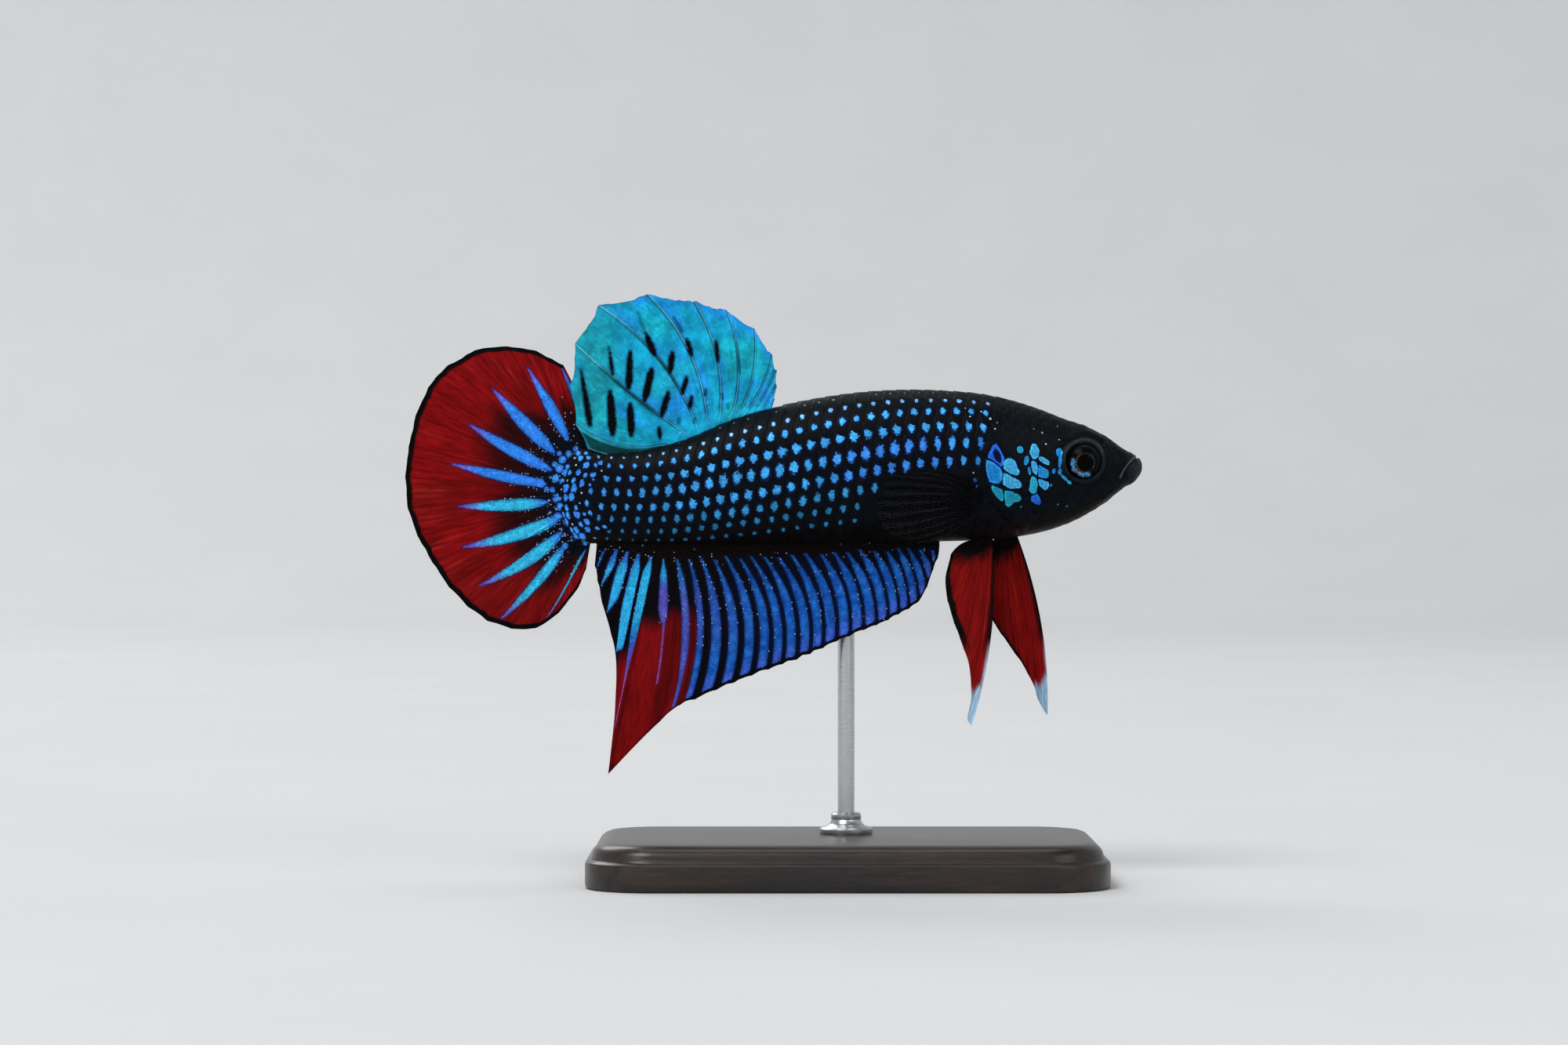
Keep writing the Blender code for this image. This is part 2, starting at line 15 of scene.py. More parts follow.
import bpy
import numpy as np
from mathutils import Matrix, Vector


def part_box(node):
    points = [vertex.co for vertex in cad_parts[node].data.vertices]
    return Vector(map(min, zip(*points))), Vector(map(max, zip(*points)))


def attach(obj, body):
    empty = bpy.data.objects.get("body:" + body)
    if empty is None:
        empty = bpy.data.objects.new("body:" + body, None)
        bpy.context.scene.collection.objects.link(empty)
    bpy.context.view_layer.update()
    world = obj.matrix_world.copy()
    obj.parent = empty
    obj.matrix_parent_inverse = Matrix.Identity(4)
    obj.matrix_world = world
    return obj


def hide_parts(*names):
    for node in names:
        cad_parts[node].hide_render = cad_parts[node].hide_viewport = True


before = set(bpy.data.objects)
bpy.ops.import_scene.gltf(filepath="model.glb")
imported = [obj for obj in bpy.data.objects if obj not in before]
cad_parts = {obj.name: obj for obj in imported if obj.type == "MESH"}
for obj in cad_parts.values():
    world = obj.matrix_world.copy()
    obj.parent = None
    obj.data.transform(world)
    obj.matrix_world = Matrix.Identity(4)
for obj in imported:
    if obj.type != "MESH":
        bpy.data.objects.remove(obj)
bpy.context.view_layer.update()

MM = 0.001

# The CAD model's own driving sizes, in millimetres, with a few of the fins' outer
# rays moved a little so that they meet the flesh
STANDARD_LENGTH = 50.0
EYE_AT = np.array((44.5, 1.95, 3.1))
EYE_RADIUS = 1.7
EYE_DEPTH = 1.35
# The body along x: its top and bottom, half its width, and its widest height
BODY = (
    (0.0, 4.5, -4.35, 0.95, 0.0),
    (4.0, 4.05, -4.3, 1.6, 0.0),
    (8.5, 4.95, -4.35, 2.15, 0.3),
    (13.7, 7.1, -4.35, 2.8, 1.0),
    (20.0, 8.65, -4.3, 3.45, 1.8),
    (26.0, 9.45, -4.25, 3.9, 2.3),
    (32.0, 9.5, -4.15, 4.1, 2.5),
    (36.1, 9.1, -4.0, 4.1, 2.4),
    (39.0, 8.4, -3.7, 3.95, 2.3),
    (41.7, 7.45, -3.1, 3.6, 2.5),
    (44.5, 6.2, -2.0, 3.0, 2.8),
    (47.0, 4.9, -0.4, 2.35, 2.8),
    (48.4, 3.95, 0.7, 1.9, 2.7),
    (50.0, 3.7, 1.45, 1.45, 2.65),
)
BODY_ROUNDNESS = 2.1
SNOUT_ROUND = 1.1
TAIL_ROUND = 2.4
TAIL_END_HALF_WIDTH = 0.3
GAP = 0.3

# Fin rays: place along the fin's base, tip x, tip z, sideways bow
DORSAL_BASE = (16.9, 8.5)
DORSAL_RAYS = (
    (0.0, 17.1, 8.7, 0.0),
    (0.1, 17.35, 9.9, -0.02),
    (0.2, 17.3, 11.3, -0.04),
    (0.29, 16.9, 12.7, -0.06),
    (0.37, 15.3, 15.05, -0.08),
    (0.44, 12.75, 16.75, -0.09),
    (0.57, 9.9, 17.5, -0.09),
    (0.69, 5.7, 18.1, -0.1),
    (0.78, 1.3, 17.1, -0.09),
    (0.88, -0.8, 13.7, 0.02),
    (0.94, -1.2, 9.8, 0.05),
    (0.98, -0.8, 6.5, 0.14),
    (1.0, 0.35, 4.3, 0.13),
)
CAUDAL_RAYS = (
    (0.0, -1.85, 11.8, -0.05),
    (0.045, -2.7, 12.25, 0.0),
    (0.136, -5.9, 13.4, 0.0),
    (0.18, -8.9, 13.35, 0.0),
    (0.227, -11.0, 12.45, 0.0),
    (0.27, -13.0, 11.0, 0.0),
    (0.318, -14.35, 8.9, 0.0),
    (0.41, -15.75, 3.9, 0.0),
    (0.5, -15.75, -1.05, 0.0),
    (0.59, -13.9, -5.45, 0.0),
    (0.68, -11.05, -9.25, 0.0),
    (0.77, -7.8, -11.5, 0.0),
    (0.86, -3.85, -11.7, 0.0),
    (0.95, -0.5, -8.3, 0.0),
    (1.0, 0.25, -6.5, 0.0),
)
CAUDAL_RAY_COUNT = 21
ANAL_BASE = (31.8, 1.2)
ANAL_LOBE = 0.84
ANAL_RAYS_FRONT = (
    (0.0, 31.6, -5.7, 0.04),
    (0.08, 30.2, -9.2, 0.07),
    (0.16, 28.2, -10.6, 0.09),
    (0.32, 23.4, -12.7, 0.11),
    (0.48, 18.6, -14.8, 0.12),
    (0.6, 13.9, -16.5, 0.12),
    (0.68, 10.4, -18.0, 0.1),
    (0.76, 7.8, -19.3, 0.08),
    (ANAL_LOBE, 2.2, -24.9, 0.0),
)
ANAL_RAYS_REAR = (
    (ANAL_LOBE, 2.2, -24.9, 0.0),
    (0.88, 2.8, -19.0, 0.0),
    (0.92, 2.8, -14.0, 0.0),
    (0.96, 1.7, -9.9, 0.0),
    (1.0, 1.0, -6.3, 0.0),
)
PELVIC_BASE = {"right": (34.5, 36.5), "left": (36.8, 38.8)}
PELVIC_RAYS = {
    "right": (
        (0.0, 32.7, -5.2, -0.1),
        (0.2, 32.2, -7.6, -0.07),
        (0.4, 32.6, -10.1, -0.03),
        (0.6, 33.45, -12.6, 0.0),
        (0.75, 34.3, -15.2, 0.02),
        (0.88, 34.45, -18.2, 0.03),
        (0.95, 34.15, -19.8, 0.04),
        (1.0, 34.5, -20.4, 0.05),
    ),
    "left": (
        (0.0, 35.6, -6.4, -0.1),
        (0.2, 36.2, -10.2, -0.07),
        (0.4, 38.0, -13.2, -0.03),
        (0.6, 39.4, -15.2, 0.0),
        (0.75, 40.4, -17.1, 0.02),
        (0.88, 40.9, -18.6, 0.03),
        (0.95, 41.42, -19.5, 0.04),
        (1.0, 41.65, -19.75, 0.05),
    ),
}
PELVIC_RAY_COUNT = 7
PELVIC_ROOT_Y = 1.0
PELVIC_SPREAD = 2.4
PELVIC_REAR_SHARE = 0.6
PECTORAL_BASE = ((34.9, 1.0), (34.6, -1.6))
PECTORAL_RAYS = (
    (0.0, 29.6, 2.3, -0.08),
    (0.25, 27.0, 1.4, -0.04),
    (0.5, 26.0, -0.8, 0.0),
    (0.75, 26.8, -3.1, 0.05),
    (1.0, 29.8, -4.2, 0.1),
)
PECTORAL_RAY_COUNT = 11
PECTORAL_ANGLE = math.radians(18.0)

# Head outlines in x, z
GILL_EDGE = (
    (36.4, 6.2),
    (35.5, 3.8),
    (35.4, 1.8),
    (36.0, 0.0),
    (37.3, -1.8),
    (39.4, -3.4),
    (42.2, -3.6),
)
CHEEK_GROOVE = ((40.9, 5.6), (39.3, 3.9), (39.25, 1.6), (39.2, -0.6), (40.6, -2.2), (43.0, -2.0))
MOUTH_LINE = ((49.75, 3.95), (49.3, 3.35), (48.75, 2.85), (48.3, 2.2), (47.95, 1.4))
JAW_GROOVE = ((47.95, 1.4), (47.2, 0.55), (46.0, -0.2), (44.9, -0.6))
NOSTRILS = ((47.3, 4.15, 0.13), (46.2, 4.75, 0.17))

# Colours, as linear light
BACK = (0.0030, 0.0047, 0.0060)
FLANK = (0.0012, 0.0022, 0.0045)
BELLY = (0.0040, 0.0026, 0.0020)
LIPS = (0.020, 0.025, 0.033)
# Grey of the ring round the eye, painted lighter over its top as a highlight
EYE_RING_AND_HIGHLIGHT = (0.024, 0.030, 0.036)
# A painted highlight along the edge of the lips
LIP_HIGHLIGHT = (0.09, 0.105, 0.125)
THROAT_RED = (0.06, 0.002, 0.003)
SKY = (0.055, 0.38, 0.86)
VIOLET_BLUE = (0.05, 0.24, 0.88)
INDIGO = (0.04, 0.22, 0.85)
ROYAL = (0.02, 0.14, 0.76)
TEAL = (0.014, 0.29, 0.50)
TURQUOISE = (0.008, 0.34, 0.55)
AZURE = (0.016, 0.26, 0.74)
DEEP_BLUE = (0.008, 0.085, 0.42)
CYAN = (0.025, 0.38, 0.70)
RED = (0.21, 0.0025, 0.0035)
DARK_RED = (0.105, 0.00125, 0.00175)
MAROON = (0.022, 0.0012, 0.0016)
INK = (0.0012, 0.0010, 0.0012)
PALE_TIP = (0.32, 0.51, 0.69)
SPECK = (0.42, 0.55, 0.68)
# Dark green of the dorsal fin's rear foot, and painted shade under two of its rays
DARK_GREEN_SHADE = (0.0015, 0.020, 0.016)
# Two shades of each plain material
WOOD = ((0.006, 0.0035, 0.0025), (0.028, 0.014, 0.008))
STEEL = ((0.46, 0.47, 0.48), (0.56, 0.57, 0.58))
FELT = ((0.006, 0.007, 0.01), (0.02, 0.022, 0.028))
FLOOR = ((0.60, 0.61, 0.62), (0.65, 0.655, 0.66))


# ---------------------------------------------------------------- numbers

# Stands for a distance that is out of reach of every mark
FAR = 9.0


def smooth(rows, at):
    """Read a smooth curve through rows of (parameter, value, ...)."""
    table = np.array(rows, float)
    known = table[:, 0]
    values = table[:, 1:]
    run = np.diff(known)[:, None]
    steep = np.diff(values, axis=0) / run
    slopes = np.empty_like(values)
    slopes[0] = steep[0]
    slopes[-1] = steep[-1]
    slopes[1:-1] = (run[1:] * steep[:-1] + run[:-1] * steep[1:]) / (run[:-1] + run[1:])
    at = np.asarray(at, float)
    i = np.clip(np.searchsorted(known, at) - 1, 0, len(known) - 2)
    step = run[i]
    t = (at - known[i])[..., None] / step
    curve = (2 * t**3 - 3 * t**2 + 1) * values[i] + (3 * t**2 - 2 * t**3) * values[i + 1]
    curve += (t**3 - 2 * t**2 + t) * slopes[i] * step + (t**3 - t**2) * slopes[i + 1] * step
    return curve


def rise(value, low, high):
    """0 below low, 1 above high, and a smooth step between; low may be the larger."""
    t = np.clip((np.asarray(value, float) - low) / (high - low), 0.0, 1.0)
    return t * t * (3 - 2 * t)


def bump(value, middle, width):
    return np.exp(-(((value - middle) / width) ** 2))


def mix(first, second, share):
    """Blend two colours, or rows of them, by a share for each row."""
    share = np.asarray(share, float)[..., None]
    return np.asarray(first, float) * (1 - share) + np.asarray(second, float) * share


def hashed(cells, seed):
    """An even random number from 0 to 1 for each row of whole numbers."""
    primes = np.array((73856093, 19349663, 83492791), np.int64)[: cells.shape[-1]]
    mixed = (cells.astype(np.int64) * primes).sum(axis=-1) + seed * 40503
    mixed = ((mixed ^ (mixed >> 13)) & 0x7FFFFFFF) * 1274126177
    return ((mixed >> 15) & 0xFFFF) / 65535.0


def noise(points, cell, seed):
    """Smooth noise from 0 to 1, with one value to each cell."""
    points = np.asarray(points, float) / cell
    corner = np.floor(points)
    part = points - corner
    part = part * part * (3 - 2 * part)
    total = np.zeros(points.shape[:-1])
    for offset in itertools.product((0, 1), repeat=points.shape[-1]):
        weight = np.prod(np.where(offset, part, 1 - part), axis=-1)
        total += weight * hashed(corner + offset, seed)
    return total


def moved(line, dx, dz):
    return [(x + dx, z + dz) for x, z in line]


def to_line(x, z, line):
    """Distance from each point to a bent line, and how far along it that is, 0 to 1."""
    line = np.array(line, float)
    lengths = np.hypot(*np.diff(line, axis=0).T)
    before = np.concatenate(([0.0], np.cumsum(lengths)))
    best = np.full(np.shape(x), 1e9)
    along = np.zeros(np.shape(x))
    for k, length in enumerate(lengths):
        step = (line[k + 1] - line[k]) / length
        t = np.clip((x - line[k, 0]) * step[0] + (z - line[k, 1]) * step[1], 0, length)
        gap = np.hypot(x - line[k, 0] - t * step[0], z - line[k, 1] - t * step[1])
        nearer = gap < best
        best = np.where(nearer, gap, best)
        along = np.where(nearer, (before[k] + t) / before[-1], along)
    return best, along


# ---------------------------------------------------------------- the body's shape


def body_at(x):
    """Top, bottom, half width and widest height of the body at each x."""
    x = np.asarray(x, float)
    top, bottom, half, middle = np.moveaxis(smooth(BODY, np.maximum(x, 0.0)), -1, 0)
    snout = np.maximum(0.0, x - (STANDARD_LENGTH - SNOUT_ROUND)) / SNOUT_ROUND
    tail = np.maximum(0.0, -x) / TAIL_ROUND
    closing = np.sqrt(np.maximum(0.0, 1.0 - np.maximum(snout, tail) ** 2))
    top = middle + (top - middle) * closing
    bottom = middle + (bottom - middle) * closing
    half = np.where(x < 0, half + (TAIL_END_HALF_WIDTH - half) * tail, half * closing)
    return top, bottom, half, middle


def surface(x, angle):
    """The body's points at places along it and angles round it."""
    top, bottom, half, middle = body_at(x)
    across = np.cos(angle)
    up = np.sin(angle)
    across = np.sign(across) * np.abs(across) ** (2 / BODY_ROUNDNESS)
    up = np.sign(up) * np.abs(up) ** (2 / BODY_ROUNDNESS)
    reach = np.where(up > 0, top - middle, middle - bottom)
    return np.stack(np.broadcast_arrays(x, half * across, middle + reach * up), axis=-1)


def outward(x, angle):
    """Directions straight out of the body."""
    step = 0.02
    along = surface(x + step, angle) - surface(x - step, angle)
    around = surface(x, angle + step) - surface(x, angle - step)
    normal = np.cross(around, along)
    return normal / np.maximum(np.linalg.norm(normal, axis=-1, keepdims=True), 1e-12)


def angle_at(x, y, z):
    """The angle round the body of a point near its surface."""
    top, bottom, half, middle = body_at(x)
    reach = np.where(z > middle, top - middle, middle - bottom)
    across = y / np.maximum(half, 1e-6)
    up = (z - middle) / np.maximum(reach, 1e-6)
    power = BODY_ROUNDNESS / 2
    up = np.sign(up) * np.abs(up) ** power
    return np.arctan2(up, np.sign(across) * np.abs(across) ** power)


def side_facing(normal):
    """How much a surface faces sideways, 0 to 1."""
    return rise(np.abs(normal[..., 1]), 0.25, 0.6)


def side_angle(x, z, side):
    """The angle of the flank point at x, z, on the right (-1) or left (+1) side."""
    top, bottom, _, middle = body_at(x)
    reach = np.where(z > middle, top - middle, middle - bottom)
    up = np.clip((z - middle) / reach, -1.0, 1.0)
    angle = np.arcsin(np.sign(up) * np.abs(up) ** (BODY_ROUNDNESS / 2))
    return angle if side > 0 else math.pi - angle


# ---------------------------------------------------------------- making objects

eye_low, eye_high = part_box("eye_right")
EYE_MIDDLE = (np.array(eye_low) + np.array(eye_high)) / 2 / MM
FISH_AT = EYE_MIDDLE - EYE_AT * (1, -1, 1)


def add_object(name, data):
    item = bpy.data.objects.new(name, data)
    bpy.context.scene.collection.objects.link(item)
    return item


def make_mesh(name, points, faces, material, sharp_angle=0.0):
    """A smooth-shaded object from points in millimetres in the part's frame."""
    mesh = bpy.data.meshes.new(name)
    faces = faces.tolist() if isinstance(faces, np.ndarray) else faces
    mesh.from_pydata((np.asarray(points) * MM).tolist(), [], faces)
    mesh.shade_smooth()
    if sharp_angle:
        mesh.set_sharp_from_angle(angle=math.radians(sharp_angle))
    mesh.materials.append(material)
    return add_object(name, mesh)


def make_piece(name, points, faces, material, replaced=(), sharp_angle=0.0):
    """A shown piece of the model, and the CAD nodes that it stands in for."""
    item = make_mesh(name, points, faces, material, sharp_angle)
    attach(item, "root")
    if replaced:
        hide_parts(*replaced)
    return item


def in_part(points):
    """Points from the fish's frame to the part's."""
    return np.asarray(points) + FISH_AT


def give(item, name, values):
    """Store a number or a colour for each vertex, for the material to read."""
    values = np.asarray(values, np.float32)
    if values.ndim == 1:
        layer = item.data.attributes.new(name, "FLOAT", "POINT")
        layer.data.foreach_set("value", values)
    else:
        rgba = np.ones((len(values), 4), np.float32)
        rgba[:, :3] = values
        layer = item.data.attributes.new(name, "FLOAT_COLOR", "POINT")
        layer.data.foreach_set("color", rgba.ravel())


def corners_of(item):
    """The vertex at each corner of each face."""
    corners = np.empty(len(item.data.loops), np.int32)
    item.data.loops.foreach_get("vertex_index", corners)
    return corners


def give_uv(item, name, uv, by_corner=False):
    """Store a flat map with one place for each vertex, or for each corner."""
    uv = np.asarray(uv, np.float32)
    layer = item.data.uv_layers.new(name=name)
    layer.data.foreach_set("uv", (uv if by_corner else uv[corners_of(item)]).ravel())


def turns(count):
    """Angles once round a circle."""
    return 2 * math.pi * np.arange(count) / count


def grid_faces(rows, columns):
    """Quads over a grid of points stored row by row."""
    a = (np.arange(rows - 1)[:, None] * columns + np.arange(columns - 1)).ravel()
    return np.stack((a, a + 1, a + columns + 1, a + columns), axis=1)


def tube_faces(rings, sides):
    """Quads round a tube of points stored ring by ring."""
    k = np.arange(sides)
    after = (k + 1) % sides
    row = np.arange(rings - 1)[:, None] * sides
    quads = np.stack((row + k, row + after, row + after + sides, row + k + sides), -1)
    return quads.reshape(-1, 4)


def inside_out(quads):
    return quads[:, (0, 3, 2, 1)]


def tipped_tube(rings, sides):
    """Faces of a tube closed by a tip at each end; the tips' points come last."""
    faces = inside_out(tube_faces(rings, sides)).tolist()
    tip, last = rings * sides, (rings - 1) * sides
    pairs = [(a, (a + 1) % sides) for a in range(sides)]
    faces += [(tip, a, b) for a, b in pairs]
    return faces + [(tip + 1, last + b, last + a) for a, b in pairs]


def capped_tube(rings, sides):
    """Faces of a tube closed by a flat cap at each end."""
    last = (rings - 1) * sides
    caps = [tuple(range(sides))[::-1], tuple(range(last, last + sides))]
    return tube_faces(rings, sides).tolist() + caps


# ---------------------------------------------------------------- materials

BRIGHT_METALLIC = 0.3


class Look:
    """A material's nodes. Each value is a number, a colour or another node's output."""

    def __init__(self, name, roughness, specular, coat=0.0, coat_roughness=0.1, metallic=0.0):
        self.material = bpy.data.materials.new(name)
        self.material.use_nodes = True
        self.tree = self.material.node_tree
        self.shader = self.tree.nodes["Principled BSDF"]
        self.place = self.node("TexCoord").outputs["Object"]
        self.set("Roughness", roughness)
        self.set("Specular IOR Level", specular)
        self.set("Coat Weight", coat)
        self.set("Coat Roughness", coat_roughness)
        self.set("Metallic", metallic)

    def plug(self, socket, value):
        if isinstance(value, bpy.types.NodeSocket):
            self.tree.links.new(value, socket)
        else:
            socket.default_value = value

    def set(self, name, value):
        self.plug(self.shader.inputs[name], value)

    def node(self, kind, inputs=None, **settings):
        made = self.tree.nodes.new("ShaderNode" + kind)
        for key, value in settings.items():
            setattr(made, key, value)
        for key, value in (inputs or {}).items():
            self.plug(made.inputs[key], value)
        return made

    def read(self, name, output="Fac"):
        """A value stored on the mesh."""
        return self.node("Attribute", attribute_name=name).outputs[output]

    def noise(self, per_unit, detail=2.0, roughness=0.6, where=None, unit=MM):
        """Noise with so many waves to a millimetre, or to another unit."""
        inputs = {"Vector": where or self.place, "Scale": per_unit / unit}
        inputs |= {"Detail": detail, "Roughness": roughness}
        return self.node("TexNoise", inputs).outputs[0]

    def calc(self, operation, *values):
        inputs = dict(enumerate((*values, 0.0, 0.0)[:3]))
        return self.node("Math", inputs, operation=operation).outputs[0]

    def times(self, first, *others):
        for other in others:
            first = self.calc("MULTIPLY", first, other)
        return first

    def spread(self, value, size):
        """A noise around 0 instead of 0.5, from -size / 2 to size / 2."""
        return self.calc("MULTIPLY_ADD", value, size, -size / 2)

    def step(self, value, low, high, to_low=0.0, to_high=1.0):
        """A smooth step between two values; low may be the larger."""
        ends = {"From Min": low, "From Max": high, "To Min": to_low, "To Max": to_high}
        made = self.node("MapRange", {"Value": value} | ends, interpolation_type="SMOOTHSTEP")
        return made.outputs[0]

    def between(self, share, first, second):
        """A blend of two numbers."""
        return self.node("Mix", {0: share, 2: first, 3: second}).outputs[0]

    def mix(self, share, first, second, blend="MIX"):
        """A blend of two colours."""
        made = self.node("Mix", {0: share}, data_type="RGBA", blend_type=blend)
        for index, value in ((6, first), (7, second)):
            self.plug(made.inputs[index], (*value, 1.0) if isinstance(value, tuple) else value)
        return made.outputs[2]

    def vector(self, operation, first, second):
        """Arithmetic with vectors or colours; for SCALE the second is a number."""
        inputs = {0: first, "Scale" if operation == "SCALE" else 1: second}
        return self.node("VectorMath", inputs, operation=operation).outputs[0]

    def bump(self, height, distance):
        inputs = {"Height": height, "Strength": 1.0, "Distance": distance * MM}
        self.set("Normal", self.node("Bump", inputs).outputs[0])


def skin_material():
    """Dark, finely pored skin whose bright marks have a sandy glitter."""
    look = Look("betta_skin", 0.45, 0.05)
    shine = look.read("shine")
    bright = look.step(look.noise(6.0), 0.3, 0.7, 0.7, 1.2)
    dull = look.step(look.noise(1.3, detail=4.0), 0.3, 0.7, 0.6, 1.45)
    factor = look.between(shine, dull, bright)
    look.set("Base Color", look.vector("SCALE", look.read("paint", "Color"), factor))
    look.set("Metallic", look.times(shine, BRIGHT_METALLIC))
    look.bump(look.noise(5.0, detail=3.0), 0.02)
    return look.material


def scale_material():
    """A dark scale with a ragged, blocky fleck of bright blue in its middle.

    The map named Spot runs from the fleck's middle to its edge at radius 1. The
    plates of the head are bright all over, with less ragged edges.
    """
    look = Look("betta_scales", 0.42, 0.05)
    tone = look.read("tone", "Color")
    plate = look.read("plate")
    spot = look.node("UVMap", uv_map="Spot").outputs[0]
    parts = look.node("SeparateXYZ", {0: spot}).outputs
    radius = look.node("VectorMath", {0: spot}, operation="LENGTH").outputs["Value"]
    corner = look.calc("ABSOLUTE", look.times(parts[0], parts[1]))
    lobes = look.spread(look.noise(3.4, detail=1.0), 1.3)
    ragged = look.spread(look.noise(7.5, roughness=0.7), 1.2)
    evenness = look.calc("MULTIPLY_ADD", plate, -0.8, 1.0)
    uneven = look.times(look.calc("ADD", lobes, ragged), evenness)
    reach = look.calc("ADD", look.calc("ADD", radius, look.times(corner, 0.12)), uneven)
    inside = look.step(reach, 1.02, 0.82)
    halo = look.step(radius, 1.5, 0.9, 0.0, 0.75)
    grain = look.step(look.noise(6.0, detail=3.0), 0.3, 0.7, 0.6, 1.3)
    cloud = look.step(look.noise(1.1), 0.4, 0.62, 0.0, 0.75)
    clear = look.mix(1.0, tone, (1.3, 1.35, 0.9), "MULTIPLY")
    tone = look.mix(look.times(cloud, plate), tone, clear)
    deep = look.mix(1.0, tone, (0.02, 0.035, 0.085), "MULTIPLY")
    dark = look.mix(halo, look.read("ground", "Color"), deep)
    middle = look.step(reach, 1.0, 0.45, 0.72, 1.08)
    rimmed = look.step(reach, 0.7, 0.92, 0.82, 1.5)
    strength = look.times(grain, look.between(plate, middle, rimmed))
    look.set("Base Color", look.mix(inside, dark, look.vector("SCALE", tone, strength)))
    look.set("Metallic", look.times(inside, BRIGHT_METALLIC))
    return look.material


def fin_material(name, ragged=0.3, soft=0.035, halo=0.0, streaky=0.34, crinkle=0.0, alpha=1.0):
    """Fin membrane and rays with fine streaks, and marks with a ragged, sandy edge.

    The map named Rays holds the place across and along the rays in millimetres,
    and the mark attribute is the distance in millimetres to the nearest mark.
    """
    look = Look(name, 0.5, 0.04)
    rays = look.node("UVMap", uv_map="Rays").outputs[0]
    stretched = look.vector("MULTIPLY", rays, (1.0, 0.13, 1.0))
    streaks = look.noise(3.6, 4.0, 0.65, stretched, unit=1.0)
    streak = look.step(streaks, 0.3, 0.7, 0.96 - streaky, 0.96 + streaky)
    colour = look.vector("SCALE", look.read("paint", "Color"), streak)
    if crinkle:
        fold = look.calc("ABSOLUTE", look.calc("SUBTRACT", look.noise(1.1), 0.5))
        line = look.step(fold, 0.06, 0.0, 1.0, 1.0 + crinkle)
        cloud = look.step(look.noise(0.8, detail=4.0), 0.35, 0.65, 0.78, 1.24)
        along = look.vector("MULTIPLY", look.place, (1.0, 1.0, 2.2))
        thread = look.noise(1.5, 5.0, 0.75, along)
        thread = look.step(thread, 0.56, 0.72, 1.0, 1.0 + 2 * crinkle)
        colour = look.vector("SCALE", colour, look.times(line, cloud))
        colour = look.vector("SCALE", colour, thread)
    mark = look.read("mark")
    edge = look.calc("ADD", mark, look.spread(look.noise(4.0, 3.0, 0.8), ragged))
    inside = look.step(edge, soft, -soft)
    if halo:
        near = look.step(mark, 0.22, 0.0, 0.0, halo)
        colour = look.mix(near, colour, (0.003, 0.011, 0.08))
    sandy = look.step(look.noise(6.5, detail=3.0), 0.35, 0.75, 0.74, 1.5)
    deep = look.step(mark, 0.0, -0.28, 0.62, 1.08)
    patchy = look.step(look.noise(1.6), 0.3, 0.7, 0.82, 1.15)
    strength = look.times(sandy, deep, patchy)
    bright = look.vector("SCALE", look.read("mark_paint", "Color"), strength)
    colour = look.mix(inside, colour, bright)
    parts = look.node("SeparateXYZ", {0: look.place}).outputs
    side_on = look.node("CombineXYZ", {0: parts[0], 1: parts[2]}).outputs[0]
    inputs = {"Vector": side_on, "Scale": 3.9 / MM, "Randomness": 1.0}
    cells = look.node("TexVoronoi", inputs, voronoi_dimensions="2D")
    close = look.step(cells.outputs["Distance"], 0.26, 0.16)
    chances = look.node("SeparateColor", {0: cells.outputs["Color"]}).outputs
    kept = look.calc("LESS_THAN", chances[0], look.read("specks"))
    kept = look.times(kept, look.calc("MULTIPLY_ADD", chances[1], 0.65, 0.3))
    look.set("Base Color", look.mix(look.times(close, kept), colour, SPECK))
    look.set("Metallic", look.times(look.read("shine"), BRIGHT_METALLIC))
    look.set("Alpha", alpha)
    look.bump(streaks, 0.03)
    return look.material


def eye_material():
    look = Look("betta_eye", 0.4, 0.02, coat=0.03, coat_roughness=0.03)
    grain = look.step(look.noise(7.0, detail=3.0), 0.3, 0.7, 0.6, 1.4)
    look.set("Base Color", look.vector("SCALE", look.read("paint", "Color"), grain))
    return look.material


def wood_material():
    """Dark stained wood with a fine grain along the base, under satin lacquer."""
    look = Look("dark_wood", 0.4, 0.3, coat=0.35, coat_roughness=0.22)
    along = look.vector("MULTIPLY", look.place, (0.09, 1.0, 1.0))
    pores = look.noise(5.0, where=along)
    share = look.step(look.noise(0.9, 6.0, 0.7, along), 0.35, 0.65)
    colour = look.mix(share, *WOOD)
    look.set("Base Color", look.vector("SCALE", colour, look.step(pores, 0.35, 0.6, 0.6, 1.1)))
    look.bump(pores, 0.03)
    return look.material


def steel_material():
    """Brushed steel, with fine rings left by the turning."""
    look = Look("brushed_steel", 0.3, 0.5, metallic=1.0)
    rings = look.noise(14.0, where=look.vector("MULTIPLY", look.place, (0.04, 0.04, 1.0)))
    share = look.step(rings, 0.3, 0.7)
    look.set("Base Color", look.mix(share, *STEEL))
    look.set("Roughness", look.step(rings, 0.3, 0.7, 0.27, 0.34))
    look.bump(rings, 0.003)
    return look.material


def felt_material():
    look = Look("dark_felt", 0.95, 0.1)
    fluff = look.noise(6.0, 4.0, 0.8)
    share = look.step(fluff, 0.3, 0.7)
    look.set("Base Color", look.mix(share, *FELT))
    look.bump(fluff, 0.05)
    return look.material


# ---------------------------------------------------------------- scale lattice

ROW_STATIONS = (2.5, 16.1, 21.4, 32.6)
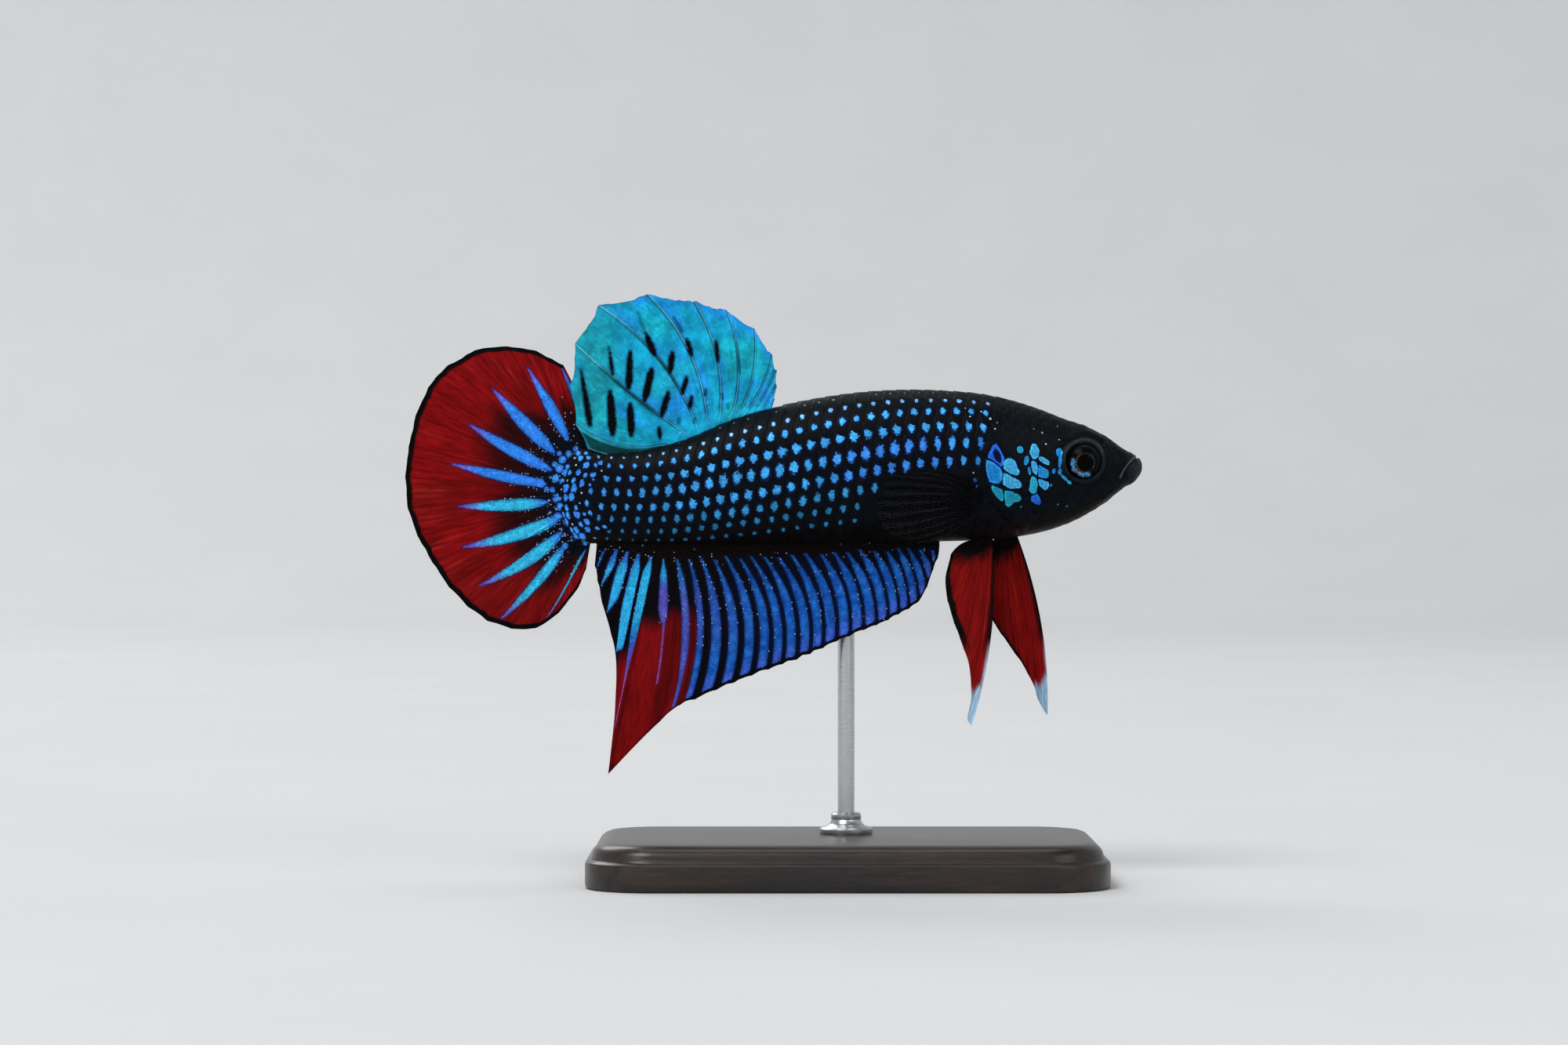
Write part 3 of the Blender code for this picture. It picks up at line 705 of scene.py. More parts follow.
# For each row of scales, from the back down: depth below the back as a share of
# the body's depth at the four stations, fleck width and height at mid flank, and
# the x in front of which its flecks fade away
SCALE_ROWS = (
    ((0.028, 0.045, 0.035, 0.022), (0.17, 0.19), 33.0),
    ((0.075, 0.13, 0.104, 0.07), (0.42, 0.58), 37.0),
    ((0.17, 0.224, 0.195, 0.14), (0.64, 0.84), 36.5),
    ((0.30, 0.345, 0.31, 0.236), (0.84, 1.10), 36.0),
    ((0.45, 0.477, 0.445, 0.35), (0.84, 1.26), 35.8),
    ((0.60, 0.613, 0.567, 0.465), (0.78, 1.16), 35.2),
    ((0.733, 0.73, 0.68, 0.59), (0.66, 0.98), 26.6),
    ((0.858, 0.82, 0.78, 0.70), (0.58, 0.78), 25.6),
    ((0.945, 0.908, 0.867, 0.80), (0.46, 0.54), 25.0),
    ((0.982, 0.962, 0.94, 0.89), (0.0, 0.0), 0.0),
    ((0.998, 0.993, 0.988, 0.96), (0.0, 0.0), 0.0),
)
TAIL_PITCH = 1.14
FLANK_PITCH = 1.27
ROW_LEAN = 0.19
LATTICE_START = 0.95
LATTICE_END = 38.0
NAPE_Z = 6.2
SCALE_DEPTH = 0.12
SPOKES = 24
RINGS = 4
HEAD_PITCH = 0.88
HEAD_SPACING = 0.76
HEAD_ROWS = 18
HEAD_END = 46.8
FAN_CENTRE = (3.3, 0.0)
# Arcs of small scales that fan out over the tail base: radius, how many scales
# and the half angle they cover
FAN_ARCS = (
    (2.95, 8, 66),
    (3.6, 9, 64),
    (4.25, 11, 60),
    (4.85, 12, 56),
    (5.4, 13, 53),
    (5.95, 12, 50),
    (6.5, 9, 44),
)
# The reach of the arcs that lie on the flesh, and how much further in the tail fin
# carries the same flecks
FAN_ON_FLESH = 5.3
FAN_OVERLAP = 0.8
FAN_SCALE = (0.68, 0.74)
# The back is bare under the dorsal fin, and the flank behind its start
DORSAL_ROOT = (7.6, 17.8)
FLANK_START = 0.7
# How high scales stand over the body's outline, the change in every other row, and
# their tilt
FLANK_LIFT = (-0.052, -0.012, 0.055)
HEAD_LIFT = (-0.062, -0.01, 0.035)
FAN_LIFT = (-0.05, 0.0, 0.04)

NO_FLECK = (0.0, 0.0)
NO_TONE = (0.0, 0.0, 0.0)
# A scale: its middle, its outline and turn, its fleck's half sizes and colour, and
# how far it is lifted off the skin and tilted up at the rear. A plate that is
# bright all over has None for its fleck
Plate = collections.namedtuple("Plate", "x z angle outline turn fleck tone lift tilt")


def scale_columns():
    """Places along the body of the scales of one row, and their spacing."""
    columns = []
    x = LATTICE_START
    while x < LATTICE_END + 2:
        pitch = TAIL_PITCH + (FLANK_PITCH - TAIL_PITCH) * float(rise(x, 0.0, 18.0))
        columns.append((x, pitch))
        x += pitch
    return columns


def row_height(row, x):
    """Height of a row of scales at x."""
    shares = SCALE_ROWS[row][0]
    before = (-TAIL_ROUND, shares[0] + (0.5 - shares[0]) * 0.12)
    rows = [before, *zip(ROW_STATIONS, shares), (46.0, shares[-1])]
    share = smooth(rows, np.clip(x, -TAIL_ROUND, 46.0))[..., 0]
    top, bottom, _, _ = body_at(x)
    return top - share * (top - bottom)


def ahead_of_gill(x, z):
    """How far in front of the gill cover's rear edge a point lies."""
    line = np.array(GILL_EDGE)[::-1]
    return x - np.interp(z, line[:, 1], line[:, 0])


def scale_outline(pitch, spacing):
    """A scale's outline: tailward and upward of its middle, rounded at the rear."""
    turn = turns(SPOKES)
    upward = 0.86 * spacing * np.sin(turn)
    rear = 0.5 * pitch * np.sign(np.cos(turn)) * np.abs(np.cos(turn)) ** 0.8
    front = 0.95 * pitch * np.sign(np.cos(turn)) * np.abs(np.cos(turn)) ** 0.6
    tailward = np.where(np.cos(turn) > 0, rear, front)
    return np.stack((tailward, upward), axis=1)


def spacing_at(row, x):
    """Distance along the skin between neighbouring rows of scales."""
    near = max(0, min(row, len(SCALE_ROWS) - 2))
    x = np.float64(x)
    upper, lower = (surface(x, side_angle(x, row_height(k, x), 1)) for k in (near, near + 1))
    return float(np.linalg.norm(upper - lower))


def chance_of(*numbers):
    """A fixed random number from 0 to 1 for a scale, told apart by three numbers."""
    return float(hashed(np.array([round(number * 50) for number in numbers]), 17))


def row_fleck(x, row, chance):
    """Half width and half height of a flank scale's fleck, and its colour."""
    if row < 0:
        return ((0.08, 0.08), np.array(SPECK) * 0.7) if chance > 0.4 else (NO_FLECK, NO_TONE)
    (width, height), fade = SCALE_ROWS[row][1:]
    if x > fade or (row == 0 and chance < 0.3):
        return NO_FLECK, NO_TONE
    tail = 1 - 0.38 * float(rise(x, 12.0, 3.0))
    front = 1 - 0.1 * float(rise(x, 27.0, 36.0)) * (row > 1)
    if 3 <= row <= 5:
        width *= 1 - 0.25 * float(rise(x, 26.0, 34.0))
        height *= 1 + 0.12 * float(rise(x, 22.0, 28.0))
    size = tail * front * (0.84 + 0.17 * chance)
    middle = 0.8 * rise(x, 20.5, 24.0) * rise(x, 34.5, 31.0) * (3 < row < 6)
    blue = mix(mix(SKY, VIOLET_BLUE, middle), VIOLET_BLUE, 0.5 * rise(x, 8.0, 1.0))
    low = rise(row, 4.6, 7.0)
    blue = mix(blue, TEAL, 0.5 * low) * (1 - 0.38 * low)
    blue = mix(blue, np.array(ROYAL) * 0.5, 0.6 * rise(x, 33.5, 35.5) * (row > 3))
    blue = blue * (0.78 + 0.4 * chance_of(x, row, 3)) * (1 - 0.15 * rise(x, 13.0, 8.0))
    if row == 0:
        blue = np.array(SPECK) * 0.5
    elif row == 1:
        blue = mix(blue, SPECK, 0.3)
    return (width * size / 2, height * size / 2), np.minimum(blue, 0.92)


def lifted(lift, row=0):
    """The lift and the tilt of a scale in a row."""
    return lift[0] + lift[1] * (row % 2), lift[2]


def flank_plates(side):
    """The scales of one flank, in leaning rows, and those along the back."""
    plates = []
    for row in range(-1, len(SCALE_ROWS)):
        for x, pitch in scale_columns():
            if row < 0:
                x += 0.5 * pitch
                z, angle = float(body_at(x)[0]), math.pi / 2 - 0.02 * side
                if DORSAL_ROOT[0] < x < DORSAL_ROOT[1] or x > LATTICE_END:
                    continue
            else:
                x -= ROW_LEAN * pitch * (row - 3)
                z = float(row_height(row, x))
                angle = float(side_angle(x, z, side))
                limit = LATTICE_END - 0.6 if z > NAPE_Z else x - ahead_of_gill(x, z) - 0.25
                if not FLANK_START < x < limit:
                    continue
            chance = chance_of(x, row, side)
            fleck, tone = row_fleck(x, row, chance)
            outline = scale_outline(pitch, spacing_at(row, x))
            turn = 0.12 * (chance - 0.5)
            plates.append(Plate(x, z, angle, outline, turn, fleck, tone, *lifted(FLANK_LIFT, row)))
    return plates


def fan_places(side):
    """Places of the small scales over the tail base: x, z, turn, arc number, chance."""
    places = []
    for arc, (radius, count, half_angle) in enumerate(FAN_ARCS):
        for k in range(count):
            chance = chance_of(arc, k, side)
            turn = math.radians(half_angle) * (2 * (k + 0.5 * (arc % 2) + 0.25) / count - 1)
            turn += 0.07 * (chance - 0.5)
            reach = radius + 0.35 * (chance_of(k, arc, side + 2) - 0.5)
            x = FAN_CENTRE[0] - reach * math.cos(turn)
            z = FAN_CENTRE[1] + reach * math.sin(turn)
            places.append((x, z, turn, arc, chance))
    return places


def fan_fleck(arc, chance):
    """Half width and half height of a fleck of the tail base, and its colour."""
    size = 0.55 + 0.52 * chance
    if (chance * 7) % 1 < 0.16:
        return (0.08, 0.09), np.array(SPECK)
    blue = mix(SKY, INDIGO, 0.3 + 0.6 * ((chance * 13) % 1))
    return ((0.23 + 0.02 * arc) * size, 0.37 * size), blue


def fan_plates(side, beyond=False):
    """The small scales over the end of the flesh at the tail, or all the flecks there."""
    plates = []
    for x, z, turn, arc, chance in fan_places(side):
        top, bottom, _, _ = body_at(x)
        on_flesh = math.hypot(x - FAN_CENTRE[0], z - FAN_CENTRE[1]) < FAN_ON_FLESH
        on_flesh = on_flesh and bottom + 0.25 < z < top - 0.25
        if not on_flesh and not beyond:
            continue
        fleck, tone = fan_fleck(arc, chance)
        angle = float(side_angle(x, z, side)) if on_flesh else 0.0
        outline = scale_outline(*FAN_SCALE)
        plates.append(Plate(x, z, angle, outline, turn, fleck, tone, *lifted(FAN_LIFT)))
    return plates


def angle_down(x, distance, side):
    """The angle round the body at a distance down the skin from the back's middle."""
    angles = math.pi / 2 - side * np.linspace(0.0, math.pi, 65)
    ring = surface(x, angles)
    lengths = np.concatenate(([0.0], np.cumsum(np.linalg.norm(np.diff(ring, axis=0), axis=1))))
    return float(np.interp(distance, lengths, angles))


def head_plates(side):
    """The small dark scales of the nape, cheek and gill cover."""
    plates = []
    outline = scale_outline(HEAD_PITCH, HEAD_SPACING)
    for row in range(HEAD_ROWS):
        start = LATTICE_END - 3.0 + (row % 2) * HEAD_PITCH / 2
        for x in np.arange(start, HEAD_END, HEAD_PITCH):
            angle = angle_down(x, (row + 0.5) * HEAD_SPACING, side)
            z = float(surface(x, angle)[2])
            # The face, the chin and a ring round the eye have no scales
            behind = x < LATTICE_END - 0.5 if z > NAPE_Z else ahead_of_gill(x, z) < 0.45
            face = x > 43.2 and z < 4.9 and not (z < 1.0 and x < 44.6)
            eye = math.hypot(x - EYE_AT[0], z - EYE_AT[2]) < 2.5 + 0.4 * (x < 43.2)
            chin = z < float(body_at(x)[1]) + 1.0 + 0.9 * (x > 39)
            if behind or face or eye or chin or near_bright_plate(x, z, 0.22):
                continue
            chance = chance_of(x, row, side)
            spot = (float(x), z, angle, outline, 0.25 * (chance - 0.5))
            plates.append(Plate(*spot, NO_FLECK, NO_TONE, *lifted(HEAD_LIFT, row)))
    return plates


def near_bright_plate(x, z, margin):
    spot = (np.array([x]), np.array([z]))
    return any(polygon_gap(*spot, outline)[0] < margin for _, outline in PLATES)


def spoke_outline(outline, middle):
    """A closed outline read as one distance along each spoke from its middle."""
    closed = np.array([*outline, outline[0]]) - middle
    turn = turns(SPOKES)
    reach = np.zeros(SPOKES)
    for a, b in zip(closed, closed[1:]):
        way = np.stack((np.cos(turn), np.sin(turn)), axis=1)
        cross = way[:, 0] * (b - a)[1] - way[:, 1] * (b - a)[0]
        with np.errstate(divide="ignore", invalid="ignore"):
            along = (a[0] * (b - a)[1] - a[1] * (b - a)[0]) / cross
            share = (a[0] * way[:, 1] - a[1] * way[:, 0]) / cross
        hit = (along > 0) & (share >= -1e-9) & (share <= 1 + 1e-9)
        reach = np.where(hit, np.maximum(reach, along), reach)
    reach = (np.roll(reach, 1) + 10 * reach + np.roll(reach, -1)) / 12
    return np.stack((reach * np.cos(turn), reach * np.sin(turn)), axis=1)


def bright_plates(side):
    """The bright plates and small marks of the head."""
    plates = []
    for colour, outline in PLATES:
        middle = np.mean(outline, axis=0)
        shape = spoke_outline(outline, middle) * (1.05 if middle[0] < 39 else 1.13)
        lift = -0.012 if colour == HOLLOW else -0.028
        add_bright_plate(plates, middle, shape, 0.0, colour, side, lift)
    turn = turns(SPOKES)
    for x, z, length, height, slant, colour in MARKS:
        size = 0.75 if colour == SPECK else 1.12
        shape = size * np.stack((length * np.cos(turn), height * np.sin(turn)), axis=1)
        add_bright_plate(plates, (x, z), shape, math.radians(-slant), colour, side, -0.014)
    return plates


def add_bright_plate(plates, middle, shape, turn, colour, side, lift):
    """Lay a shape drawn side on over the skin, which may slope away from view."""
    x, z = float(middle[0]), float(middle[1])
    angle = float(side_angle(x, z, side))
    slope = outward(np.float64(x), np.float64(angle))
    outline = np.stack((-shape[:, 0], shape[:, 1] / max(0.5, abs(slope[1]))), axis=1)[::-1]
    outline = np.roll(outline, SPOKES // 2 + 1, axis=0) * PLATE_MARGIN
    plates.append(Plate(x, z, angle, outline, turn, None, np.array(colour), lift, 0.0))


def all_plates(side):
    return flank_plates(side) + fan_plates(side) + head_plates(side) + bright_plates(side)


def ground_colour(x, z, top, bottom):
    """The dark colour under the marks, from charcoal back to brownish belly."""
    share = (top - z) / np.maximum(top - bottom, 0.01)
    ground = mix(BACK, FLANK, rise(share, 0.03, 0.2))
    ground = mix(ground, BACK, 0.75 * rise(x, 35.5, 38.5) * rise(share, 0.75, 0.3))
    return mix(ground, BELLY, rise(share, 0.82, 0.97))


# ---------------------------------------------------------------- head markings

# A bright plate is drawn a little larger than its outline, and its rim lies here
# in the map named Spot
PLATE_MARGIN = 1.07
PLATE_RIM = 1.08
PLATE_BLUE = (0.018, 0.25, 0.72)
HOLLOW = (0.002, 0.006, 0.05)
# Bright plates of the gill cover and cheek: colour, then the outline in x, z
PLATES = (
    (ROYAL, (
        (36.6, 4.8), (35.95, 3.6), (35.85, 3.35), (36.5, 3.1),
        (37.25, 2.5), (37.4, 3.4), (37.1, 4.0),
    )),
    (PLATE_BLUE, (
        (35.8, 3.2), (36.4, 3.0), (37.2, 2.3),
        (37.15, 1.1), (36.1, 1.15), (35.75, 2.2),
    )),
    (SKY, (
        (37.3, 3.1), (37.9, 3.4), (38.35, 3.1), (38.75, 2.1),
        (38.55, 1.78), (37.85, 1.98), (37.3, 2.4),
    )),
    (SKY, ((37.3, 2.1), (38.1, 1.68), (38.85, 1.3), (38.95, 0.72), (37.85, 0.62), (37.25, 1.05))),
    (TEAL, ((36.15, 1.0), (37.2, 0.6), (37.4, -0.75), (37.0, -0.35), (36.65, 0.0), (36.25, 0.6))),
    (TEAL, (
        (37.35, 0.52), (38.1, 0.35), (38.85, 0.02), (38.9, -0.45),
        (38.2, -0.6), (37.8, -1.1), (37.5, -0.7),
    )),
    (SKY, ((39.9, 4.6), (40.2, 4.65), (40.5, 3.95), (40.36, 3.4), (39.9, 3.3), (39.65, 3.85))),
    (SKY, ((40.5, 3.5), (40.9, 3.4), (41.4, 3.05), (41.4, 2.7), (40.9, 2.9), (40.46, 3.2))),
    (SKY, ((39.8, 3.15), (40.2, 2.98), (40.34, 2.58), (40.28, 1.8), (39.95, 2.15), (39.8, 2.65))),
    (PLATE_BLUE, (
        (40.42, 2.8), (40.8, 2.5), (41.3, 2.2),
        (41.3, 1.58), (40.9, 1.58), (40.42, 1.78),
    )),
    (SKY, ((40.42, 1.52), (40.83, 1.38), (41.35, 1.1), (41.35, 0.72), (41.0, 0.52), (40.5, 1.03))),
    (CYAN, (
        (39.78, 1.65), (40.1, 1.68), (40.35, 1.05),
        (40.25, 0.32), (39.9, 0.16), (39.62, 0.6),
    )),
    (ROYAL, (
        (39.8, 0.0), (40.36, 0.1), (40.6, -0.4),
        (40.6, -0.88), (40.1, -0.63), (39.82, -0.42),
    )),
    (HOLLOW, (
        (36.6, 4.2), (36.38, 3.75), (36.55, 3.3),
        (36.85, 2.98), (37.12, 3.05), (37.05, 3.7),
    )),
)
# Small marks: x, z, half length, half height, slant in degrees, colour
MARKS = (
    (39.35, 3.15, 0.2, 0.4, -12, AZURE),
    (39.62, 2.2, 0.12, 0.34, 8, AZURE),
    (38.8, 4.1, 0.26, 0.3, 0, CYAN),
    (42.3, 3.85, 0.29, 0.36, 0, AZURE),
    (42.35, 3.05, 0.14, 0.55, -4, AZURE),
    (42.35, 2.15, 0.17, 0.26, 0, AZURE),
    (41.8, 2.2, 0.15, 0.2, 0, AZURE),
    (42.75, 1.6, 0.42, 0.12, -46, CYAN),
    (43.2, 1.2, 0.25, 0.11, -38, CYAN),
    (40.8, 5.6, 0.1, 0.12, 0, SPECK),
    (41.1, 4.6, 0.13, 0.1, -40, SPECK),
    (42.3, 5.0, 0.08, 0.08, 0, SPECK),
    (42.2, 6.2, 0.06, 0.05, 0, SPECK),
    (36.6, 5.95, 0.1, 0.1, 0, SPECK),
    (36.2, 6.85, 0.15, 0.14, 0, SPECK),
    (35.4, 7.5, 0.09, 0.1, 0, SPECK),
    (34.0, 7.8, 0.08, 0.07, 0, SPECK),
    (34.4, 7.05, 0.11, 0.09, 0, SPECK),
    (36.8, 6.5, 0.06, 0.06, 0, SPECK),
    (34.65, 2.05, 0.07, 0.1, 0, SPECK),
    (34.8, 1.4, 0.14, 0.17, 20, DEEP_BLUE),
    (34.95, 0.85, 0.08, 0.1, 0, AZURE),
    (40.05, 5.95, 0.06, 0.05, 0, SPECK),
    (38.9, -0.95, 0.08, 0.07, 0, TEAL),
    (43.0, -0.9, 0.08, 0.06, 0, TEAL),
    (42.2, -0.75, 0.06, 0.06, 0, TEAL),
    (41.55, 0.95, 0.13, 0.07, 40, TEAL),
)


def polygon_gap(x, z, outline):
    """Signed distance to a closed outline, negative inside it."""
    closed = [*outline, outline[0]]
    gap, _ = to_line(x, z, closed)
    inside = np.zeros(np.shape(x), bool)
    for (ax, az), (bx, bz) in zip(closed, closed[1:]):
        crossed = (az > z) != (bz > z)
        with np.errstate(divide="ignore", invalid="ignore"):
            at = ax + (z - az) * (bx - ax) / (bz - az if bz != az else 1e-9)
        inside ^= crossed & (x < at)
    return np.where(inside, -gap, gap)


def head_paint(points, paint, shine):
    """Add the bright plates and small marks of the head to the skin under them."""
    x, _, z = points.T
    near = (x > 34.5) & (x < 44.2)
    for colour, outline in PLATES:
        gap = np.full(len(x), FAR)
        gap[near] = polygon_gap(x[near], z[near], outline)
        share = rise(gap, 0.0, -0.12)
        paint[:] = mix(paint, colour, share)
        shine[:] = np.maximum(shine, share)
    for mx, mz, length, height, slant, colour in MARKS:
        turn = math.radians(slant)
        along = (x - mx) * math.cos(turn) + (z - mz) * math.sin(turn)
        across = (z - mz) * math.cos(turn) - (x - mx) * math.sin(turn)
        share = rise(np.hypot(along / length, across / height), 0.9, 0.6)
        paint[:] = mix(paint, colour, share)


def head_relief(points, normal):
    """How far the head's features push the skin out, in millimetres."""
    x, z = points[..., 0], points[..., 2]
    side_on = side_facing(normal)
    ring = np.hypot(x - EYE_AT[0], z - EYE_AT[2])
    eye = 0.2 * bump(ring, 1.8, 0.2) - 0.1 * bump(ring, 2.2, 0.13)
    eye += 0.05 * bump(ring, 2.5, 0.2) - 1.6 * rise(ring, 1.6, 1.47)
    lift = eye * side_on
    # The gill cover's raised edge and the groove across the cheek
    gap, along = to_line(x, z, GILL_EDGE)
    ends = rise(along, 0.0, 0.08) * rise(along, 1.0, 0.8)
    ahead = ahead_of_gill(x, z)
    lift += side_on * ends * (0.1 * rise(ahead, -0.05, 0.12) * rise(gap, 2.2, 0.2))
    lift -= side_on * ends * 0.06 * bump(ahead, -0.2, 0.2)
    gap, along = to_line(x, z, CHEEK_GROOVE)
    lift -= 0.08 * side_on * bump(gap, 0.0, 0.1) * rise(along, 0.0, 0.15) * rise(along, 1.0, 0.85)
    brow = rise(x, 42.5, 45.0) * rise(x, 49.5, 48.7) * rise(normal[..., 2], 0.1, 0.9)
    lift += 0.27 * brow
    # The mouth, its lips and the folds behind them
    gap, along = to_line(x, z, MOUTH_LINE)
    lift -= 0.15 * bump(gap, 0.0, 0.06) * rise(along, 1.02, 0.85)
    gap, along = to_line(x, z, moved(MOUTH_LINE, -0.15, 0.09))
    lift += 0.06 * bump(gap, 0.0, 0.1) * rise(along, 1.0, 0.9)
    for k in range(3):
        back = 0.42 + 0.24 * k
        gap, along = to_line(x, z, moved(MOUTH_LINE, -back, back * 0.6))
        lift -= 0.035 * bump(gap, 0.0, 0.05) * rise(along, 1.0, 0.8) * rise(along, 0.0, 0.1)
    gap, _ = to_line(x, z, moved(MOUTH_LINE[:4], 0.3, -0.18))
    lift += 0.06 * bump(gap, 0.0, 0.2)
    gap, along = to_line(x, z, JAW_GROOVE)
    lift -= 0.06 * side_on * bump(gap, 0.0, 0.1) * rise(along, 1.0, 0.6)
    for nx, nz, radius in NOSTRILS:
        off = np.hypot(x - nx, z - nz)
        lip = 0.04 * bump(off, radius * 1.7, radius * 0.7)
        lift += side_on * (lip - 0.2 * bump(off, 0, radius))
    # The fine unevenness of the snout and the head
    snout = rise(x, 41.0, 46.0)
    rough = 0.07 * snout * (noise(points, 0.6, 11) - 0.5)
    lift += rough + 0.05 * snout * (noise(points, 0.27, 14) - 0.5)
    return lift + 0.03 * rise(x, 36.0, 38.5) * (noise(points, 0.3, 12) - 0.5)


# ---------------------------------------------------------------- skin

SKIN_ANGLES = 220
FLECKS_END = 36.5
FLECK_HALO = (0.002, 0.008, 0.05)
# Runs of the skin along x: start, end and how many rings
SKIN_STEPS = ((-TAIL_ROUND, 0.0, 36), (0.0, 34.5, 150), (34.5, 48.9, 235), (48.9, 50.0, 26))


def skin_stations():
    """Places of the skin's rings, closest together on the head and at both ends."""
    stations = []
    for start, end, count in SKIN_STEPS:
        t = np.arange(count) / count
        if start < 0:
            t = 1 - np.cos(t * math.pi / 2)
        elif end == STANDARD_LENGTH:
            t = np.sin(t * math.pi / 2)
        stations.append(start + (end - start) * t)
    return np.concatenate(stations)


def nearest_flecks(points, plates):
    """For each point, its place in the fleck of the nearest scale, and the colour."""
    best = np.full(len(points), 1e9)
    radius = np.full(len(points), FAR)
    tones = np.zeros((len(points), 3))
    for plate in plates:
        near = np.flatnonzero(np.abs(points[:, 0] - plate.x) < 1.2)
        offset = points[near][:, (0, 2)] - (plate.x, plate.z)
        closer = (offset**2).sum(axis=1) < best[near]
        index = near[closer]
        best[index] = (offset[closer] ** 2).sum(axis=1)
        lit = plate.fleck[0] > 0
        radius[index] = np.hypot(*(offset[closer] / plate.fleck).T) if lit else FAR
        tones[index] = plate.tone
    return radius, tones


def make_skin(material):
    """One closed skin over the body, just inside the CAD solids."""
    stations = skin_stations()
    angles = turns(SKIN_ANGLES) - math.pi / 2
    x, angle = (a.ravel() for a in np.meshgrid(stations, angles, indexing="ij"))
    bare = surface(x, angle)
    normal = outward(np.clip(x, -TAIL_ROUND + 0.1, STANDARD_LENGTH - 0.05), angle)
    top, bottom, _, _ = body_at(x)
    paint = ground_colour(x, bare[:, 2], top, bottom)
    shine = np.zeros(len(x))
    for side in (-1, 1):
        mine = np.sign(bare[:, 1]) * side >= 0
        mine &= (x < FLECKS_END) & (top - bottom > 0.5)
        radius, tone = nearest_flecks(bare[mine], flank_plates(side) + fan_plates(side, True))
        share = rise(radius, 1.1, 0.75)
        paint[mine] = mix(paint[mine], FLECK_HALO, 0.75 * rise(radius, 1.7, 1.1))
        paint[mine] = mix(paint[mine], tone, share)
        shine[mine] = share
    lift = head_relief(bare, normal) - SCALE_DEPTH
    head_paint(bare, paint, shine)
    paint = face_paint(bare, paint, side_facing(normal))
    points = bare + normal * lift[:, None]
    rows = len(stations)
    tail_tip = (-TAIL_ROUND + SCALE_DEPTH, 0.0, body_at(0.0)[3])
    snout_tip = (STANDARD_LENGTH - SCALE_DEPTH, 0.0, body_at(STANDARD_LENGTH)[3])
    points = np.concatenate((points, (tail_tip, snout_tip)))
    paint = np.concatenate((paint, (paint[0], paint[-1])))
    shine = np.concatenate((shine, (0.0, 0.0)))
    faces = tipped_tube(rows, SKIN_ANGLES)
    flesh = ("head", "lower_jaw", "gill_cover_right", "gill_cover_left", "trunk", "tail")
    item = make_piece("skin", in_part(points), faces, material, flesh)
    give(item, "paint", paint)
    give(item, "shine", shine)
    unwrap_skin(item, rows)


def unwrap_skin(item, rows):
    """The skin cut open along the belly and laid flat: u along it and v round it."""
    corners = corners_of(item)
    u = np.minimum(corners // SKIN_ANGLES, rows - 1) / (rows - 1)
    v = (corners % SKIN_ANGLES) / SKIN_ANGLES
    tips = corners >= rows * SKIN_ANGLES
    u[tips] = np.where(corners[tips] == rows * SKIN_ANGLES, 0.0, 1.0)
    quads = (rows - 1) * SKIN_ANGLES * 4
    by_quad = v[:quads].reshape(-1, 4)
    wrapped = (by_quad.max(axis=1) > 0.9) & (by_quad.min(axis=1) < 0.1)
    by_quad[wrapped] = np.where(by_quad[wrapped] < 0.1, 1.0, by_quad[wrapped])
    give_uv(item, "OFBake", np.stack((u, v), axis=1), by_corner=True)


def face_paint(points, paint, side_on):
    """Grey lips with a painted highlight along the lip and jaw line, the grey eye surround with a
    painted highlight over its top, painted shade in the eye socket, the mouth's groove and the
    nostrils, and the faint red of the throat.
    """
    x, _, z = points.T
    ring = np.hypot(x - EYE_AT[0], z - EYE_AT[2])
    # The grey ring round the eye, with a painted highlight that is strongest over its top
    upper = 0.25 + 0.75 * rise((z - EYE_AT[2]) / np.maximum(ring, 0.1), -0.4, 0.7)
    paint = mix(paint, EYE_RING_AND_HIGHLIGHT, 0.95 * bump(ring, 1.84, 0.17) * side_on * upper)
    # Painted shade in the socket, where the skin meets the eyeball
    paint = mix(paint, INK, rise(ring, 1.6, 1.52) * side_on)
    paint = mix(paint, LIPS, 0.75 * rise(x, 48.2, 49.3) * rise(z, 0.8, 2.0))
    # A painted highlight along the raised edge of the lips
    gap, along = to_line(x, z, moved(MOUTH_LINE, -0.16, 0.1))
    paint = mix(paint, LIP_HIGHLIGHT, 0.8 * bump(gap, 0.0, 0.06) * rise(along, 1.0, 0.95))
    # Painted shade in the groove of the mouth
    gap, _ = to_line(x, z, MOUTH_LINE)
    paint = mix(paint, INK, 0.85 * bump(gap, 0.0, 0.06))
    throat = bump(np.hypot(x - 38.7, (z + 2.9) * 1.4), 0, 0.7)
    paint = mix(paint, THROAT_RED, 0.7 * throat)
    # Painted shade in the nostrils' pits
    for nx, nz, radius in NOSTRILS:
        off = np.hypot(x - nx, z - nz)
        paint = mix(paint, INK, 0.9 * bump(off, 0.0, radius) * side_on)
    return paint


# ---------------------------------------------------------------- scales


# How far out each ring of a scale lies, with the lower rim last, and the same for
# every point from the middle to the lower middle
RING_SHARES = (*(k / RINGS for k in range(1, RINGS)), 0.97, 1.0, 0.96)
POINT_SHARES = np.concatenate(([0.0], np.repeat(RING_SHARES, SPOKES), [0.0]))
RIM_DEPTH = 0.016
FOOT_DEPTH = 0.08


def each(plates, field):
    return np.array([getattr(plate, field) for plate in plates])


